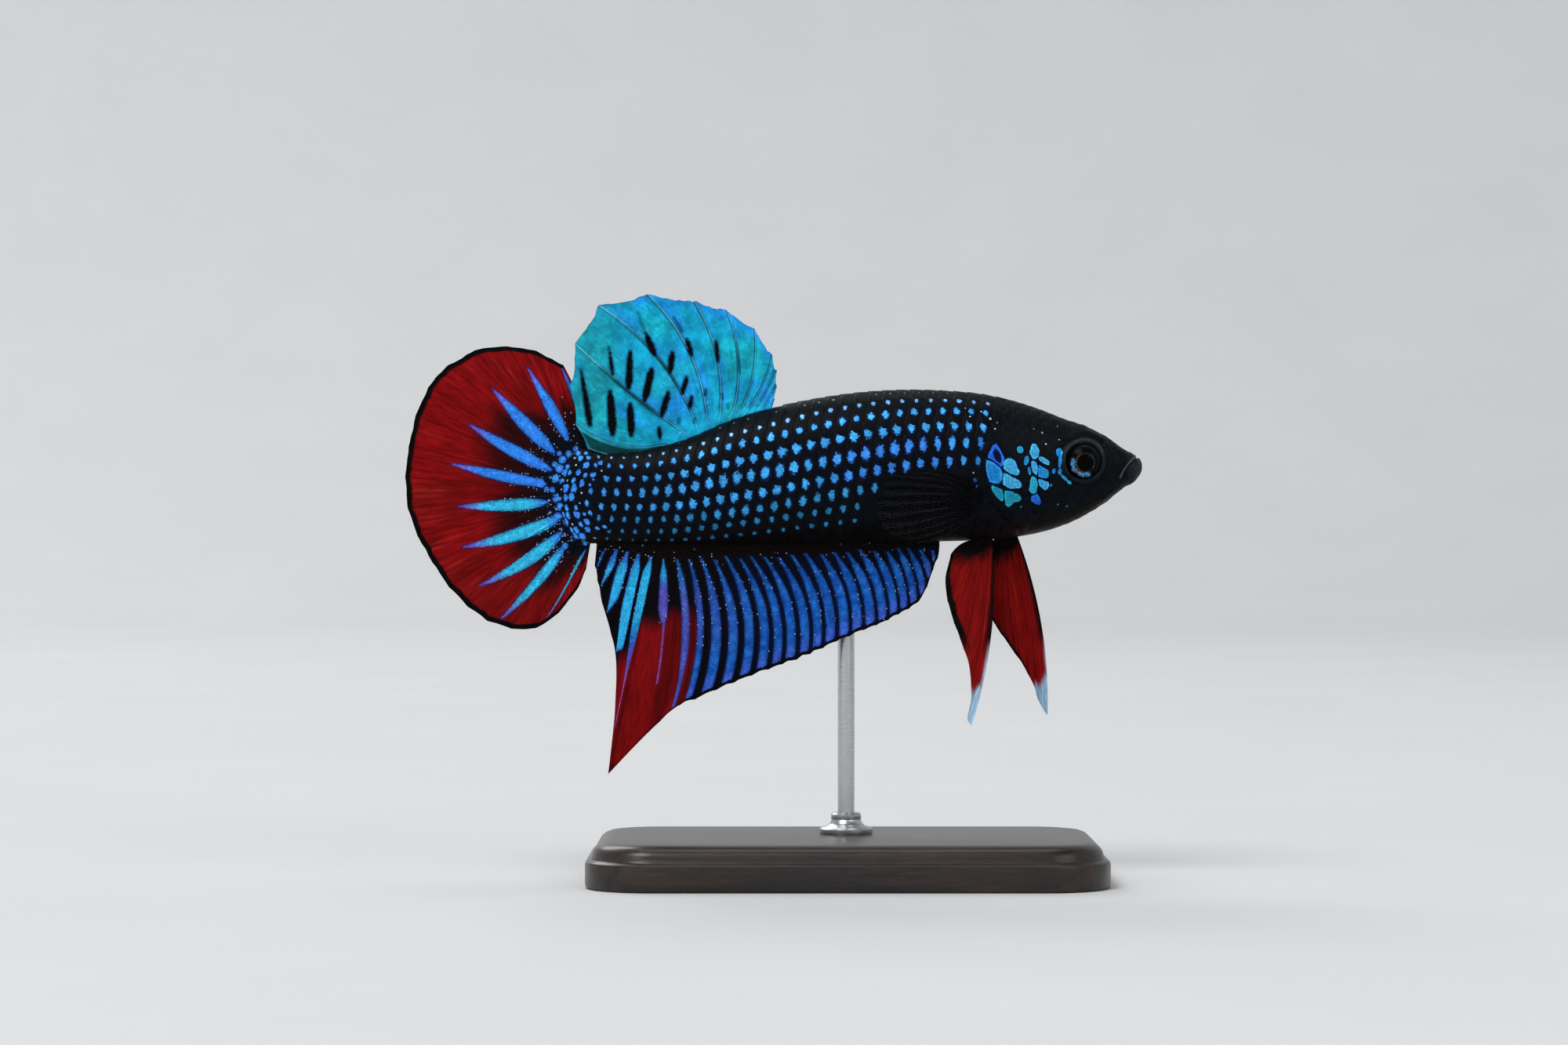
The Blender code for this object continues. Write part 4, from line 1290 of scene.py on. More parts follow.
def shingle_points(plates):
    """Points of shallow plates that lie on the body, each a fan of rings.

    Each plate has a middle, rings out to its rim, a lower rim and a lower middle.
    The result is shaped (plates, points, 3), with the local places beside it.
    """
    x, angle = each(plates, "x"), each(plates, "angle")
    turn = each(plates, "turn")[:, None]
    local = each(plates, "outline")[:, None] * np.reshape(RING_SHARES, (1, -1, 1, 1))
    middle = np.zeros((len(x), 1, 2))
    local = np.concatenate((middle, local.reshape(len(x), -1, 2), middle), axis=1)
    depth = np.zeros(local.shape[1])
    rim = 1 + SPOKES * (len(RING_SHARES) - 2)
    depth[rim : rim + SPOKES] = RIM_DEPTH
    depth[rim + SPOKES :] = FOOT_DEPTH
    step = 0.01
    along = surface(x - step, angle) - surface(x + step, angle)
    around = surface(x, angle + step) - surface(x, angle - step)
    up = np.where(np.cos(angle)[:, None] > 0, around, -around)
    along /= np.linalg.norm(along, axis=1, keepdims=True)
    up /= np.linalg.norm(up, axis=1, keepdims=True)
    tailward = local[..., 0] * np.cos(turn) - local[..., 1] * np.sin(turn)
    upward = local[..., 0] * np.sin(turn) + local[..., 1] * np.cos(turn)
    spot = surface(x, angle)[:, None] + tailward[..., None] * along[:, None]
    spot += upward[..., None] * up[:, None]
    near_x = np.clip(spot[..., 0], -TAIL_ROUND + 0.12, STANDARD_LENGTH - 0.2)
    near_angle = angle_at(near_x, spot[..., 1], spot[..., 2])
    on_body = surface(near_x, near_angle)
    normal = outward(near_x, near_angle)
    height = head_relief(on_body, normal) + 0.02 * (1 - POINT_SHARES**2) - depth
    height += each(plates, "lift")[:, None] + each(plates, "tilt")[:, None] * local[..., 0]
    return on_body + normal * height[..., None], local


def shingle_faces(count):
    """Faces of the plates made by shingle_points."""
    rings = len(RING_SHARES)
    last = 1 + rings * SPOKES
    pairs = [(k, (k + 1) % SPOKES) for k in range(SPOKES)]
    one = [(0, 1 + a, 1 + b) for a, b in pairs]
    one += (1 + inside_out(tube_faces(rings, SPOKES))).tolist()
    one += [(last, last - SPOKES + b, last - SPOKES + a) for a, b in pairs]
    starts = range(0, count * (last + 1), last + 1)
    return [tuple(v + start for v in face) for start in starts for face in one]


def spot_map(plates, local):
    """Where each point lies in its plate's fleck, with the fleck's edge at 1."""
    spot = np.full(local.shape, FAR)
    for k, plate in enumerate(plates):
        if plate.fleck is None:
            spot[k] = np.stack((PLATE_RIM * POINT_SHARES, 0 * POINT_SHARES), axis=1)
        elif plate.fleck[0] > 0:
            spot[k] = local[k] / plate.fleck
    return spot.reshape(-1, 2)


def make_scales(name, side, material):
    """The overlapping scales of one side of the fish, as one mesh of solid plates."""
    plates = all_plates(side)
    points, local = shingle_points(plates)
    count, per = points.shape[:2]
    flat = points.reshape(-1, 3)
    top, bottom, _, _ = body_at(flat[:, 0])
    ground = ground_colour(flat[:, 0], flat[:, 2], top, bottom)
    rear = np.clip(local[..., 0] / 0.6, 0, 1).ravel()
    mottled = 0.7 + 0.6 * noise(flat, 0.45, 41)
    ground = mix(ground * 1.2, ground * 0.5, rise(rear, 0.55, 0.95)) * mottled[:, None]
    item = make_piece(name, in_part(flat), shingle_faces(count), material)
    give(item, "ground", ground)
    give(item, "tone", np.repeat(each(plates, "tone"), per, axis=0))
    give(item, "plate", np.repeat([float(plate.fleck is None) for plate in plates], per))
    give_uv(item, "Spot", spot_map(plates, local))
    give_uv(item, "OFBake", bake_places(plates, side, local))


BAKE_PATCH = 0.004


def bake_places(plates, side, local):
    """A small patch for each scale, at its root's place on this side's unwrap."""
    u = (each(plates, "x") + TAIL_ROUND) / (STANDARD_LENGTH + TAIL_ROUND)
    over = each(plates, "angle") if side > 0 else math.pi - each(plates, "angle")
    v = 0.5 + over / math.pi
    places = np.stack((u, v), axis=1)
    low, high = places.min(axis=0), places.max(axis=0)
    places = (places - low) / (high - low) * 0.98 + 0.01
    width = np.abs(each(plates, "outline")).max(axis=(1, 2))[:, None, None]
    return (places[:, None] + BAKE_PATCH / 2 * local / width).reshape(-1, 2)


# ---------------------------------------------------------------- eyes

EYE_RINGS = 72
EYE_SIDES = 96
EYE_INSET = 0.02
CORNEA = 0.04
PUPIL = 0.78
GAZE = (0.11, -0.14)
# Colours of the eye
IRIS_BLUE = (0.002, 0.014, 0.045)
STEEL_BLUE = (0.04, 0.22, 0.46)
# A pale steel blue, painted as highlights in the blue arc
STEEL_HIGHLIGHT = (0.28, 0.50, 0.66)
STEEL_GREY = (0.17, 0.20, 0.24)
COPPER = (0.22, 0.13, 0.09)
RIM_GREY = (0.13, 0.13, 0.14)
# A grey edge round the eye, painted lighter towards the upper front as a highlight
EYE_EDGE_HIGHLIGHT = (0.012, 0.015, 0.018)
PUPIL_BLACK = (0.0006, 0.0005, 0.0005)


def make_eye(name, side, material):
    """An eyeball with a domed cornea, its pupil, copper rim and blue arc."""
    polar = math.pi * np.arange(1, EYE_RINGS) / EYE_RINGS
    turn = turns(EYE_SIDES)
    polar, turn = (a.ravel() for a in np.meshgrid(polar, turn, indexing="ij"))
    radius, depth = EYE_RADIUS - EYE_INSET, EYE_DEPTH - EYE_INSET
    x = radius * np.sin(polar) * np.cos(turn)
    z = radius * np.sin(polar) * np.sin(turn)
    out = depth * np.cos(polar)
    front = polar < math.pi / 2
    off = np.where(front, np.hypot(x, z), FAR)
    out += np.where(front, CORNEA * bump(off, 0.0, 1.0) + 0.03 * bump(off, 1.25, 0.12), 0)
    points = np.stack((x, side * out, z), axis=1)
    tips = ((0, side * (depth + CORNEA), 0), (0, -side * depth, 0))
    points = np.concatenate((points, tips)) + EYE_AT * (1, side, 1)
    paint = iris_paint(*(np.append(values, (0.0, FAR)) for values in (x, z, off)))
    faces = tipped_tube(EYE_RINGS - 1, EYE_SIDES)
    if side > 0:
        faces = [tuple(face)[::-1] for face in faces]
    item = make_piece(name + "_visual", in_part(points), faces, material, (name,))
    give(item, "paint", paint)
    flat = np.append(polar, (0.0, math.pi))[:, None] / math.pi / 2
    turned = np.append(turn, (0.0, 0.0))
    give_uv(item, "OFBake", 0.5 + flat * np.stack((np.cos(turned), np.sin(turned)), axis=1))


def from_angle(turn, middle):
    """Degrees between two angles, 0 to 180."""
    return np.abs((turn - middle + 180) % 360 - 180)


def iris_paint(x, z, edge):
    """Near-black iris, a thin copper rim round the pupil, a blue arc behind and below with painted
    highlights in it, and a painted highlight on the grey edge of the eye towards the upper front.

    Points behind the eye have FAR as their distance from its middle, edge.
    """
    x, z = x - GAZE[0], z - GAZE[1]
    off = np.where(edge < FAR, np.hypot(x, z), FAR)
    paint = np.tile(np.array(INK) * 1.6, (len(x), 1))
    turn = np.degrees(np.arctan2(z, x))
    flat = np.stack((x, z), axis=1)
    ragged = 0.2 * (noise(flat, 0.14, 4) - 0.5) + 0.12 * (noise(flat, 0.06, 9) - 0.5)
    low = rise(from_angle(turn, 265), 33, 25)
    rear = rise(from_angle(turn, 192), 36, 28)
    link = rise(from_angle(turn, 228), 20, 8)
    arc = rise(np.abs(off - 1.06 + ragged), 0.21, 0.14) * low
    arc = np.maximum(arc, rise(np.abs(off - 1.11 + ragged), 0.2, 0.13) * rear * 0.9)
    arc = np.maximum(arc, rise(np.abs(off - 1.03 + ragged), 0.17, 0.1) * link * 0.8)
    glow = rise(np.abs(off - 1.1), 0.42, 0.15) * np.maximum(low, rear)
    paint = mix(paint, IRIS_BLUE, glow)
    # Paler patches in the blue arc are painted highlights
    steel = mix(STEEL_BLUE, STEEL_HIGHLIGHT, rise(noise(flat, 0.1, 6), 0.5, 0.85))
    paint = mix(paint, mix(steel, STEEL_GREY, link), arc)
    rim = bump(off, PUPIL + 0.04, 0.032)
    strength = 0.18 + 0.6 * rise(from_angle(turn, 190), 80, 20)
    strength = strength + 0.4 * bump((turn + 35) % 360, 0.0, 30) + 0.25 * bump(turn, 35, 25)
    paint = mix(paint, mix(COPPER, RIM_GREY, rise(x, -0.3, 0.5)), rim * strength)
    # Painted highlight on the eye's grey edge, strongest towards the upper front
    lit_side = 0.5 + 0.5 * np.cos(np.radians(turn - 60))
    paint = mix(paint, EYE_EDGE_HIGHLIGHT, 0.8 * bump(edge, 1.36, 0.09) * lit_side)
    return mix(paint, PUPIL_BLACK, rise(off, PUPIL, PUPIL - 0.04))


# ---------------------------------------------------------------- fins


def linear_rows(rows):
    """A reading of rows of (share, tip x, tip z, bow) with straight runs between."""
    known, *values = np.array(rows, float).T
    return lambda share: np.column_stack([np.interp(share, known, value) for value in values])


def smooth_rows(rows):
    return lambda share: smooth(rows, share)


# A fork beyond the end of every ray
NEVER = 2.0


class Fin:
    """A dense two-sided plate of curved rays and the membrane between them.

    Rays stand at the given shares, with rays_at for their tips and bow and base for
    their roots, sunk by root into the body. There are so many cells from ray to ray
    and steps along a ray, and teeth is how far the edge is drawn in between rays.

    Arrays have one row for each fine column across the fin and one column for
    each step from the root to the edge. The place between a ray (0) and the next
    (1) is t, and v is the place along the ray. Lengths are in millimetres.
    """

    def __init__(self, shares, rays_at, base, cells, steps, root, teeth, seed):
        number = np.append(np.repeat(np.arange(len(shares) - 1), cells), len(shares) - 2)
        t = np.append(np.tile(np.arange(cells) / cells, len(shares) - 1), 1.0)
        shares = np.asarray(shares, float)
        share = shares[number] + (shares[number + 1] - shares[number]) * t
        tip_x, tip_z, bow = (value[:, None] for value in rays_at(share).T)
        jagged = noise(np.stack((share, 0 * share), axis=-1), 0.012, seed)[:, None]
        self.number, self.t, self.share = number[:, None], t[:, None], share[:, None]
        drawn_in = teeth * (4 * self.t * (1 - self.t) + 0.8 * jagged)
        base_x, base_z = base(self.share)
        self.length = np.hypot(tip_x - base_x, tip_z - base_z)
        end = 1 - drawn_in / self.length
        start = -root / self.length
        self.v = start + (end - start) * np.linspace(0.0, 1.0, steps)[None, :]
        bulge = bow * 4 * self.v * (1 - self.v)
        self.x = base_x + self.v * (tip_x - base_x) - bulge * (tip_z - base_z)
        self.z = base_z + self.v * (tip_z - base_z) + bulge * (tip_x - base_x)
        self.to_edge = (end - self.v) * self.length
        self.to_root = self.v * self.length
        self.near_root = np.clip(self.v, 0, 1)
        self.places = np.stack((self.x, self.z), axis=-1)
        self.per_share = self.stretch(share)
        self.ray_gap = self.stretch(number + t)
        self.mark = np.full(self.x.shape, FAR)
        self.mark_paint = np.zeros((*self.x.shape, 3))
        self.specks = np.zeros(self.x.shape)
        self.shine = np.zeros(self.x.shape)

    def stretch(self, parameter):
        """Millimetres across the fin for each unit of a parameter across it."""
        by_x = np.gradient(self.x, parameter, axis=0)
        return np.hypot(by_x, np.gradient(self.z, parameter, axis=0))

    def add_mark(self, distance, colour):
        """Add marks from their distance field, keeping the nearest at each point."""
        nearer = distance < self.mark
        self.mark = np.where(nearer, distance, self.mark)
        colour = np.broadcast_to(colour, self.mark_paint.shape)
        self.mark_paint = np.where(nearer[..., None], colour, self.mark_paint)

    def from_ray(self):
        """Distance to the nearest ray."""
        return np.minimum(self.t, 1 - self.t) * self.ray_gap

    def ray_line(self, width):
        """1 along each ray and 0 off it, for paint."""
        return bump(self.from_ray(), 0.0, width)

    def ripple(self, size):
        """How far the fin swings sideways from ray to ray."""
        return size * self.near_root * np.cos(2 * math.pi * self.t)

    def streaks(self, across, along):
        """Places for a noise drawn out along the rays, with its cells across and along."""
        return np.stack((self.share * across + 0 * self.v, self.v * along), axis=-1)

    def ray_relief(self, forked, width):
        """How raised each point is by a ray: 1 on it, 0 on the membrane.

        Each ray forks at the share forked of its length.
        """
        apart = 0.17 * rise(self.v, forked, 1.05)
        from_ray = np.minimum(self.t, 1 - self.t)
        crest = np.maximum(bump(from_ray, apart, width), bump(from_ray, -apart, width))
        return crest * (1 - 0.45 * self.near_root)

    def thickness(self, crest, membrane=0.05, ray=0.1, root=0.16):
        """Half the fin's thickness: rays on the membrane, stouter at the root."""
        half = membrane + ray * crest * rise(self.to_edge, 0.0, 0.9)
        half = half + root * rise(self.near_root, 0.13, 0.0)
        return half * (0.4 + 0.6 * rise(self.to_edge, 0.0, 0.5))

    def dark_margin(self, paint, margin):
        """Blacken a margin, given as 0 to 1, and clear the marks from it."""
        self.mark = np.where(margin > 0.5, FAR, self.mark)
        return mix(paint, INK, margin)

    def build(self, name, lateral, half_thickness, paint, material, slot):
        columns, steps = self.x.shape
        sides = []
        for side in (-1, 1):
            y = lateral + side * half_thickness
            sides.append(np.stack((self.x, y, self.z), axis=-1).reshape(-1, 3))
        near = grid_faces(columns, steps)
        far = near + columns * steps
        faces = np.concatenate((near, far[:, ::-1], rim_faces(columns, steps)))
        points = in_part(np.concatenate(sides))
        item = make_piece(name + "_visual", points, faces, material, (name,))
        drift = 0.85 + 0.3 * noise(self.places, 1.7, 23)
        give(item, "paint", np.tile((paint * drift[..., None]).reshape(-1, 3), (2, 1)))
        give(item, "mark_paint", np.tile(self.mark_paint.reshape(-1, 3), (2, 1)))
        for key in ("mark", "specks", "shine"):
            give(item, key, np.tile(getattr(self, key).ravel(), 2))
        row = steps * 3 // 4
        hops = np.hypot(np.diff(self.x[:, row]), np.diff(self.z[:, row]))
        across = np.concatenate(([0.0], np.cumsum(hops)))
        across = np.broadcast_to(across[:, None], self.x.shape)
        rays = np.stack((across, self.to_root), axis=-1).reshape(-1, 2)
        give_uv(item, "Rays", np.tile(rays, (2, 1)))
        flat = np.meshgrid(
            np.linspace(0.01, 0.99, columns), np.linspace(0.01, 0.99, steps), indexing="ij"
        )
        give_uv(item, "OFBake", np.tile(np.stack(flat, axis=-1).reshape(-1, 2), (2, 1)))
        orient_outward(item)


def rim_faces(columns, steps):
    """The narrow faces that join a fin's two sides round its edge."""
    i = np.arange(columns - 1)
    j = np.arange(steps - 1)
    last = (columns - 1) * steps
    loops = (
        (i * steps, (i + 1) * steps, False),
        (i * steps + steps - 1, (i + 1) * steps + steps - 1, True),
        (j, j + 1, True),
        (last + j, last + j + 1, False),
    )
    size = columns * steps
    faces = []
    for a, b, flip in loops:
        quad = np.stack((a, a + size, b + size, b), axis=1)
        faces.append(quad[:, ::-1] if flip else quad)
    return np.concatenate(faces)


def orient_outward(item):
    """Turn all faces round if the closed mesh's volume comes out negative."""
    mesh = item.data
    mesh.calc_loop_triangles()
    corners = np.empty(len(mesh.loop_triangles) * 3, np.int32)
    mesh.loop_triangles.foreach_get("vertices", corners)
    spots = np.empty(len(mesh.vertices) * 3, np.float32)
    mesh.vertices.foreach_get("co", spots)
    spots = spots.reshape(-1, 3).astype(float)
    spots -= spots.mean(axis=0)
    a, b, c = np.moveaxis(spots[corners.reshape(-1, 3)], 1, 0)
    if np.einsum("ij,ij->", a, np.cross(b, c)) < 0:
        mesh.flip_normals()


def wave(swing, half_waves, share):
    return swing * np.sin(half_waves * math.pi * share)


# Dark bars of the dorsal fin: x, z of both ends, widths at both ends
DORSAL_BARS = (
    (-0.2, 11.3, 0.62, 6.4, 0.16, 0.52),
    (2.4, 9.3, 2.65, 5.6, 0.46, 0.66),
    (2.3, 13.3, 2.62, 10.9, 0.12, 0.32),
    (4.2, 12.9, 4.06, 9.7, 0.38, 0.52),
    (4.2, 8.2, 4.3, 5.5, 0.46, 0.52),
    (6.1, 11.3, 5.5, 8.6, 0.5, 0.5),
    (5.6, 14.5, 6.35, 12.7, 0.3, 0.5),
    (7.95, 12.8, 7.75, 11.1, 0.44, 0.4),
    (7.6, 9.2, 7.0, 7.2, 0.44, 0.4),
    (6.78, 6.1, 6.85, 5.2, 0.28, 0.28),
    (9.24, 10.6, 8.85, 9.2, 0.28, 0.34),
    (9.7, 8.9, 9.5, 7.9, 0.22, 0.3),
    (9.25, 14.0, 9.66, 12.6, 0.3, 0.34),
    (11.85, 13.8, 12.05, 12.0, 0.28, 0.26),
)
FAINT_BARS = (
    (8.1, 15.9, 8.8, 14.7, 0.28, 0.6),
    (4.9, 16.4, 5.5, 14.6, 0.28, 0.5),
    (13.7, 13.7, 14.0, 11.0, 0.2, 0.5),
    (10.95, 9.5, 10.9, 9.1, 0.34, 0.75),
    (12.4, 9.1, 12.45, 8.7, 0.28, 0.6),
    (9.95, 6.9, 9.9, 6.6, 0.3, 0.6),
    (8.55, 6.9, 8.5, 6.5, 0.34, 0.6),
    (12.9, 8.2, 12.9, 7.9, 0.3, 0.4),
)


# Colours of the dorsal fin
COBALT = (0.02, 0.10, 0.62)
SEA_GREEN = (0.01, 0.40, 0.42)
JADE = (0.012, 0.30, 0.35)
# Painted shade beside the rays, and a painted highlight along them
RAY_SIDE_SHADE = (0.001, 0.012, 0.02)
GLINT = (0.18, 0.56, 0.72)


def dorsal_base(share):
    x = DORSAL_BASE[0] + share * (DORSAL_BASE[1] - DORSAL_BASE[0])
    return x, body_at(x)[0]


def make_dorsal_fin(material):
    shares = [row[0] for row in DORSAL_RAYS]
    build = {"cells": 28, "steps": 112, "root": 0.9, "teeth": 0.22, "seed": 71}
    fin = Fin(shares, linear_rows(DORSAL_RAYS), dorsal_base, **build)
    # The root is sunk into the back, and deeper at the rear
    fin.z = fin.z - 1.2 * np.maximum(0.0, -fin.to_root)
    fin.z = fin.z - 0.22 * rise(fin.share, 0.88, 0.98) * rise(fin.to_root, 1.8, 0.0)
    v = fin.near_root
    lateral = -0.7 * v * fin.share**3 + v * wave(0.25, 3, fin.share) + fin.ripple(0.08)
    # One corner of the outline has no ray of its own
    from_ray = fin.from_ray() + FAR * (np.abs(fin.share - 0.94) < 0.02)
    rays = 0.7 * bump(from_ray, 0.0, 0.055)
    between = bump(np.abs(fin.t - 0.5) * fin.ray_gap, 0.0, 0.06) * rise(fin.v, 0.2, 0.5)
    folds = 0.03 * (noise(fin.places, 0.45, 20) - 0.5) * rise(fin.v, 0.0, 0.2)
    half = fin.thickness(np.maximum(rays, 0.4 * between)) + folds
    paint = dorsal_lines(fin, dorsal_ground(fin), from_ray)
    for ax, az, bx, bz, start_width, end_width in DORSAL_BARS:
        gap, along = to_line(fin.x, fin.z, ((ax, az), (bx, bz)))
        width = start_width + (end_width - start_width) * along
        width = width * (0.58 + 0.42 * rise(np.minimum(along, 1 - along), 0.0, 0.2))
        fin.add_mark(gap - 0.62 * width, INK)
    fin.specks = 0.05 * rise(fin.v, 0.1, 0.0) + 0 * fin.x
    fin.shine = rise(paint.sum(axis=-1), 0.1, 0.4) * rise(fin.mark, -0.05, 0.05)
    fin.build("dorsal_fin", lateral, half, paint, material, "turquoise_fin")


def dorsal_ground(fin):
    """Turquoise that turns blue beside the rays, in front and at the edge."""
    drift = noise(fin.places, 2.6, 21)
    blue = 0.75 * rise(fin.t + 0.5 * (drift - 0.5), 0.45, 1.05)
    blue = np.maximum(blue, 0.9 * rise(fin.share, 0.36, 0.2) * rise(fin.v, 0.1, 0.5))
    blue = np.maximum(blue, 0.8 * rise(fin.to_edge + 0.8 * (drift - 0.5), 1.3, 0.1))
    middle = bump(fin.x, 8.3, 1.7) * rise(fin.z, 14.5, 11.0) * rise(fin.z, 6.0, 8.0)
    paint = mix(TURQUOISE, AZURE, np.maximum(blue, 0.8 * middle))
    paint = mix(paint, COBALT, 0.6 * rise(fin.share, 0.3, 0.12) * rise(fin.v, 0.3, 0.9))
    paint = mix(paint, SEA_GREEN, 0.5 * rise(noise(fin.places, 1.9, 27), 0.5, 0.8))
    return mix(paint, JADE, 0.7 * rise(fin.x, 4.5, 1.0))


def dorsal_lines(fin, paint, from_ray):
    """Add painted shade beside the rays and a painted highlight along them, the dark green foot of
    the rear, partly painted shade, painted shade under two rays, and faint bars.
    """
    strong = rise(fin.v, 0.03, 0.15) * (from_ray < FAR)
    after = fin.t * fin.ray_gap
    before = (1 - fin.t) * fin.ray_gap
    line = 0.001 + 0.058 * rise(fin.ray_gap, 0.1, 0.9)
    # Painted shade on both sides of each raised ray, and a painted highlight along it
    paint = mix(paint, RAY_SIDE_SHADE, 0.95 * bump(after, 1.7 * line, line) * strong)
    paint = mix(paint, RAY_SIDE_SHADE, 0.8 * bump(before, 1.6 * line, 0.8 * line) * strong)
    paint = mix(paint, GLINT, 0.5 * bump(from_ray, 0.0, 0.03))
    # The dark green foot between the last two rays: partly the membrane's own colour, partly
    # painted shade
    low = (fin.number >= 11) * rise(fin.v, 1.0, 0.93)
    low = 0.93 * low * rise(fin.t, 0.1, 0.25) * rise(fin.t, 0.97, 0.9)
    paint = mix(paint, DARK_GREEN_SHADE, low)
    # Painted shade in a band under two of the rear rays
    for number, depth in ((9, 0.55), (8, 0.3)):
        under = (fin.number == number) * rise(after, depth, 0.12)
        under = under * rise(fin.v, 0.2, 0.35) * rise(fin.v, 0.85, 0.6)
        paint = mix(paint, DARK_GREEN_SHADE, 0.85 * under)
    for ax, az, bx, bz, width, dark in FAINT_BARS:
        gap, _ = to_line(fin.x, fin.z, ((ax, az), (bx, bz)))
        paint = mix(paint, INK, dark * rise(gap, width * 0.8, width * 0.3))
    return paint


# Bright streaks of the tail fin: share along the base and place along the ray at
# the root end and at the tip, then the width and how blunt the root end is
CAUDAL_STREAKS = (
    (0.012, 0.16, 0.020, 0.98, 0.42, 0.0),
    (0.132, 0.09, 0.138, 0.80, 0.95, 0.2),
    (0.250, 0.08, 0.228, 0.69, 1.0, 0.1),
    (0.350, 0.05, 0.325, 0.66, 1.0, 0.3),
    (0.432, 0.07, 0.415, 0.71, 0.85, 0.8),
    (0.528, 0.06, 0.505, 0.67, 0.95, 0.1),
    (0.645, -0.02, 0.595, 0.75, 1.05, 0.4),
    (0.745, 0.02, 0.682, 0.81, 1.0, 0.4),
    (0.818, 0.08, 0.770, 0.95, 0.82, 0.1),
    (0.970, 0.14, 0.860, 0.985, 0.5, 0.3),
)

CAUDAL_UPPER_STREAKS = 5
# Colours of the tail fin
TAIL_BLACK = (0.0012, 0.0028, 0.006)
SCARLET = (0.36, 0.010, 0.008)
PALE_RED = (0.42, 0.05, 0.045)
BRIGHT_TEAL = (0.03, 0.44, 0.66)
VIOLET = (0.17, 0.13, 0.72)


def caudal_base(share):
    top, bottom, _, middle = body_at(0.0)
    reach = np.where(share < 0.5, top - middle, middle - bottom)
    x = -TAIL_ROUND * np.sin(math.pi * share)
    x = x + 0.6 * np.maximum(rise(share, 0.1, 0.0), rise(share, 0.9, 1.0))
    return x, middle + reach * np.cos(math.pi * share)


def make_caudal_fin(material):
    shares = np.linspace(0.0, 1.0, CAUDAL_RAY_COUNT)
    build = {"cells": 15, "steps": 126, "root": 1.1, "teeth": 0.1, "seed": 72}
    fin = Fin(shares, smooth_rows(CAUDAL_RAYS), caudal_base, **build)
    v = fin.near_root
    lateral = 0.4 * v * (1 - fin.share) + v * v * wave(0.35, 4, fin.share) + fin.ripple(0.08)
    half = fin.thickness(fin.ray_relief(forked=0.45, width=0.085))
    paint = caudal_ground(fin)
    for number, streak in enumerate(CAUDAL_STREAKS):
        add_caudal_streak(fin, number >= CAUDAL_UPPER_STREAKS, *streak)
    for x, z, turn, arc, chance in fan_places(-1):
        if math.hypot(x - FAN_CENTRE[0], z - FAN_CENTRE[1]) < FAN_ON_FLESH - FAN_OVERLAP:
            continue
        (width, height), tone = fan_fleck(arc, chance)
        dx, dz = fin.x - x, fin.z - z
        tailward = (-dx * math.cos(turn) + dz * math.sin(turn)) / width
        upward = (dx * math.sin(turn) + dz * math.cos(turn)) / height
        fin.add_mark((np.hypot(tailward, upward) - 1) * min(width, height), tone)
    fin.specks = np.maximum(fin.specks, 0.2 * rise(fin.v, 0.18, 0.05))
    fin.specks = np.maximum(fin.specks, 0.3 * rise(fin.share, 0.1, 0.02) * rise(fin.v, 0.7, 0.3))
    fin.shine = rise(fin.mark, 0.05, -0.05)
    ragged = 0.12 * (noise(fin.places, 0.4, 39) - 0.5)
    paint = fin.dark_margin(paint, rise(fin.to_edge + ragged, 0.58, 0.42))
    fin.build("caudal_fin", lateral, half, paint, material, "red_tail_fin")


def caudal_ground(fin):
    """Black at the root, then red with darker rays and paler streaks."""
    along = fin.streaks(30, 1.8)
    streaky = noise(along, 1.0, 31)
    paint = mix(TAIL_BLACK, MAROON, rise(fin.v + 0.2 * streaky, 0.2, 0.45))
    paint = mix(paint, RED, rise(fin.v + 0.28 * (streaky - 0.5), 0.34, 0.62))
    paint = mix(paint, DARK_RED, 0.7 * rise(streaky, 0.62, 0.9) * rise(fin.v, 0.3, 0.6))
    glow = rise(noise(along * (0.35, 0.5), 1.0, 33), 0.5, 0.9)
    paint = mix(paint, SCARLET, 0.45 * glow * rise(fin.v, 0.5, 0.8))
    fine = bump(np.abs(fin.t - 0.5) * fin.ray_gap, 0.25, 0.035) * rise(streaky, 0.35, 0.6)
    paint = mix(paint, PALE_RED, 0.22 * fine * rise(fin.v, 0.45, 0.75))
    paint = mix(paint, MAROON, 0.3 * rise(fin.z, -4.0, -8.5))
    return mix(paint, np.array(RED) * 0.35, 0.5 * fin.ray_line(0.07) * rise(fin.v, 0.25, 0.5))


def add_caudal_streak(fin, lower, root_share, start, tip_share, end, width, blunt):
    """Add one of the bright streaks that fan out over the tail fin."""
    t = (fin.v - start) / (end - start)
    centre = root_share + (tip_share - root_share) * np.clip(t, -0.3, 1.2)
    inner = np.clip(t, 0, 1)
    taper = np.sin(math.pi * inner**0.72) ** 0.85
    stub = blunt * rise(inner, 0.0, 0.05) * rise(inner, 0.55, 0.15)
    taper = np.maximum(taper, stub) + 0.05
    beyond = np.maximum(start - fin.v, fin.v - end) * fin.length
    gap = np.abs(fin.share - centre) * fin.per_share - 0.53 * width * taper
    gap = np.maximum(gap, beyond)
    tone = mix(BRIGHT_TEAL, SKY, 0.15) if lower else mix(ROYAL, SKY, 0.35)
    tone = mix(tone, VIOLET, rise(inner, 0.66, 0.95))
    tone = mix(tone, ROYAL, (0.8 if lower else 0.3) * rise(inner, 0.24, 0.02))
    fin.add_mark(gap, tone)
    beside = bump(gap, 0.16, 0.13) * rise(t, 0.5, 0.2) * rise(t, -0.12, 0.0)
    fin.specks = np.maximum(fin.specks, 0.45 * beside)


def anal_base(share):
    x = ANAL_BASE[0] + share * (ANAL_BASE[1] - ANAL_BASE[0])
    return x, body_at(x)[1]


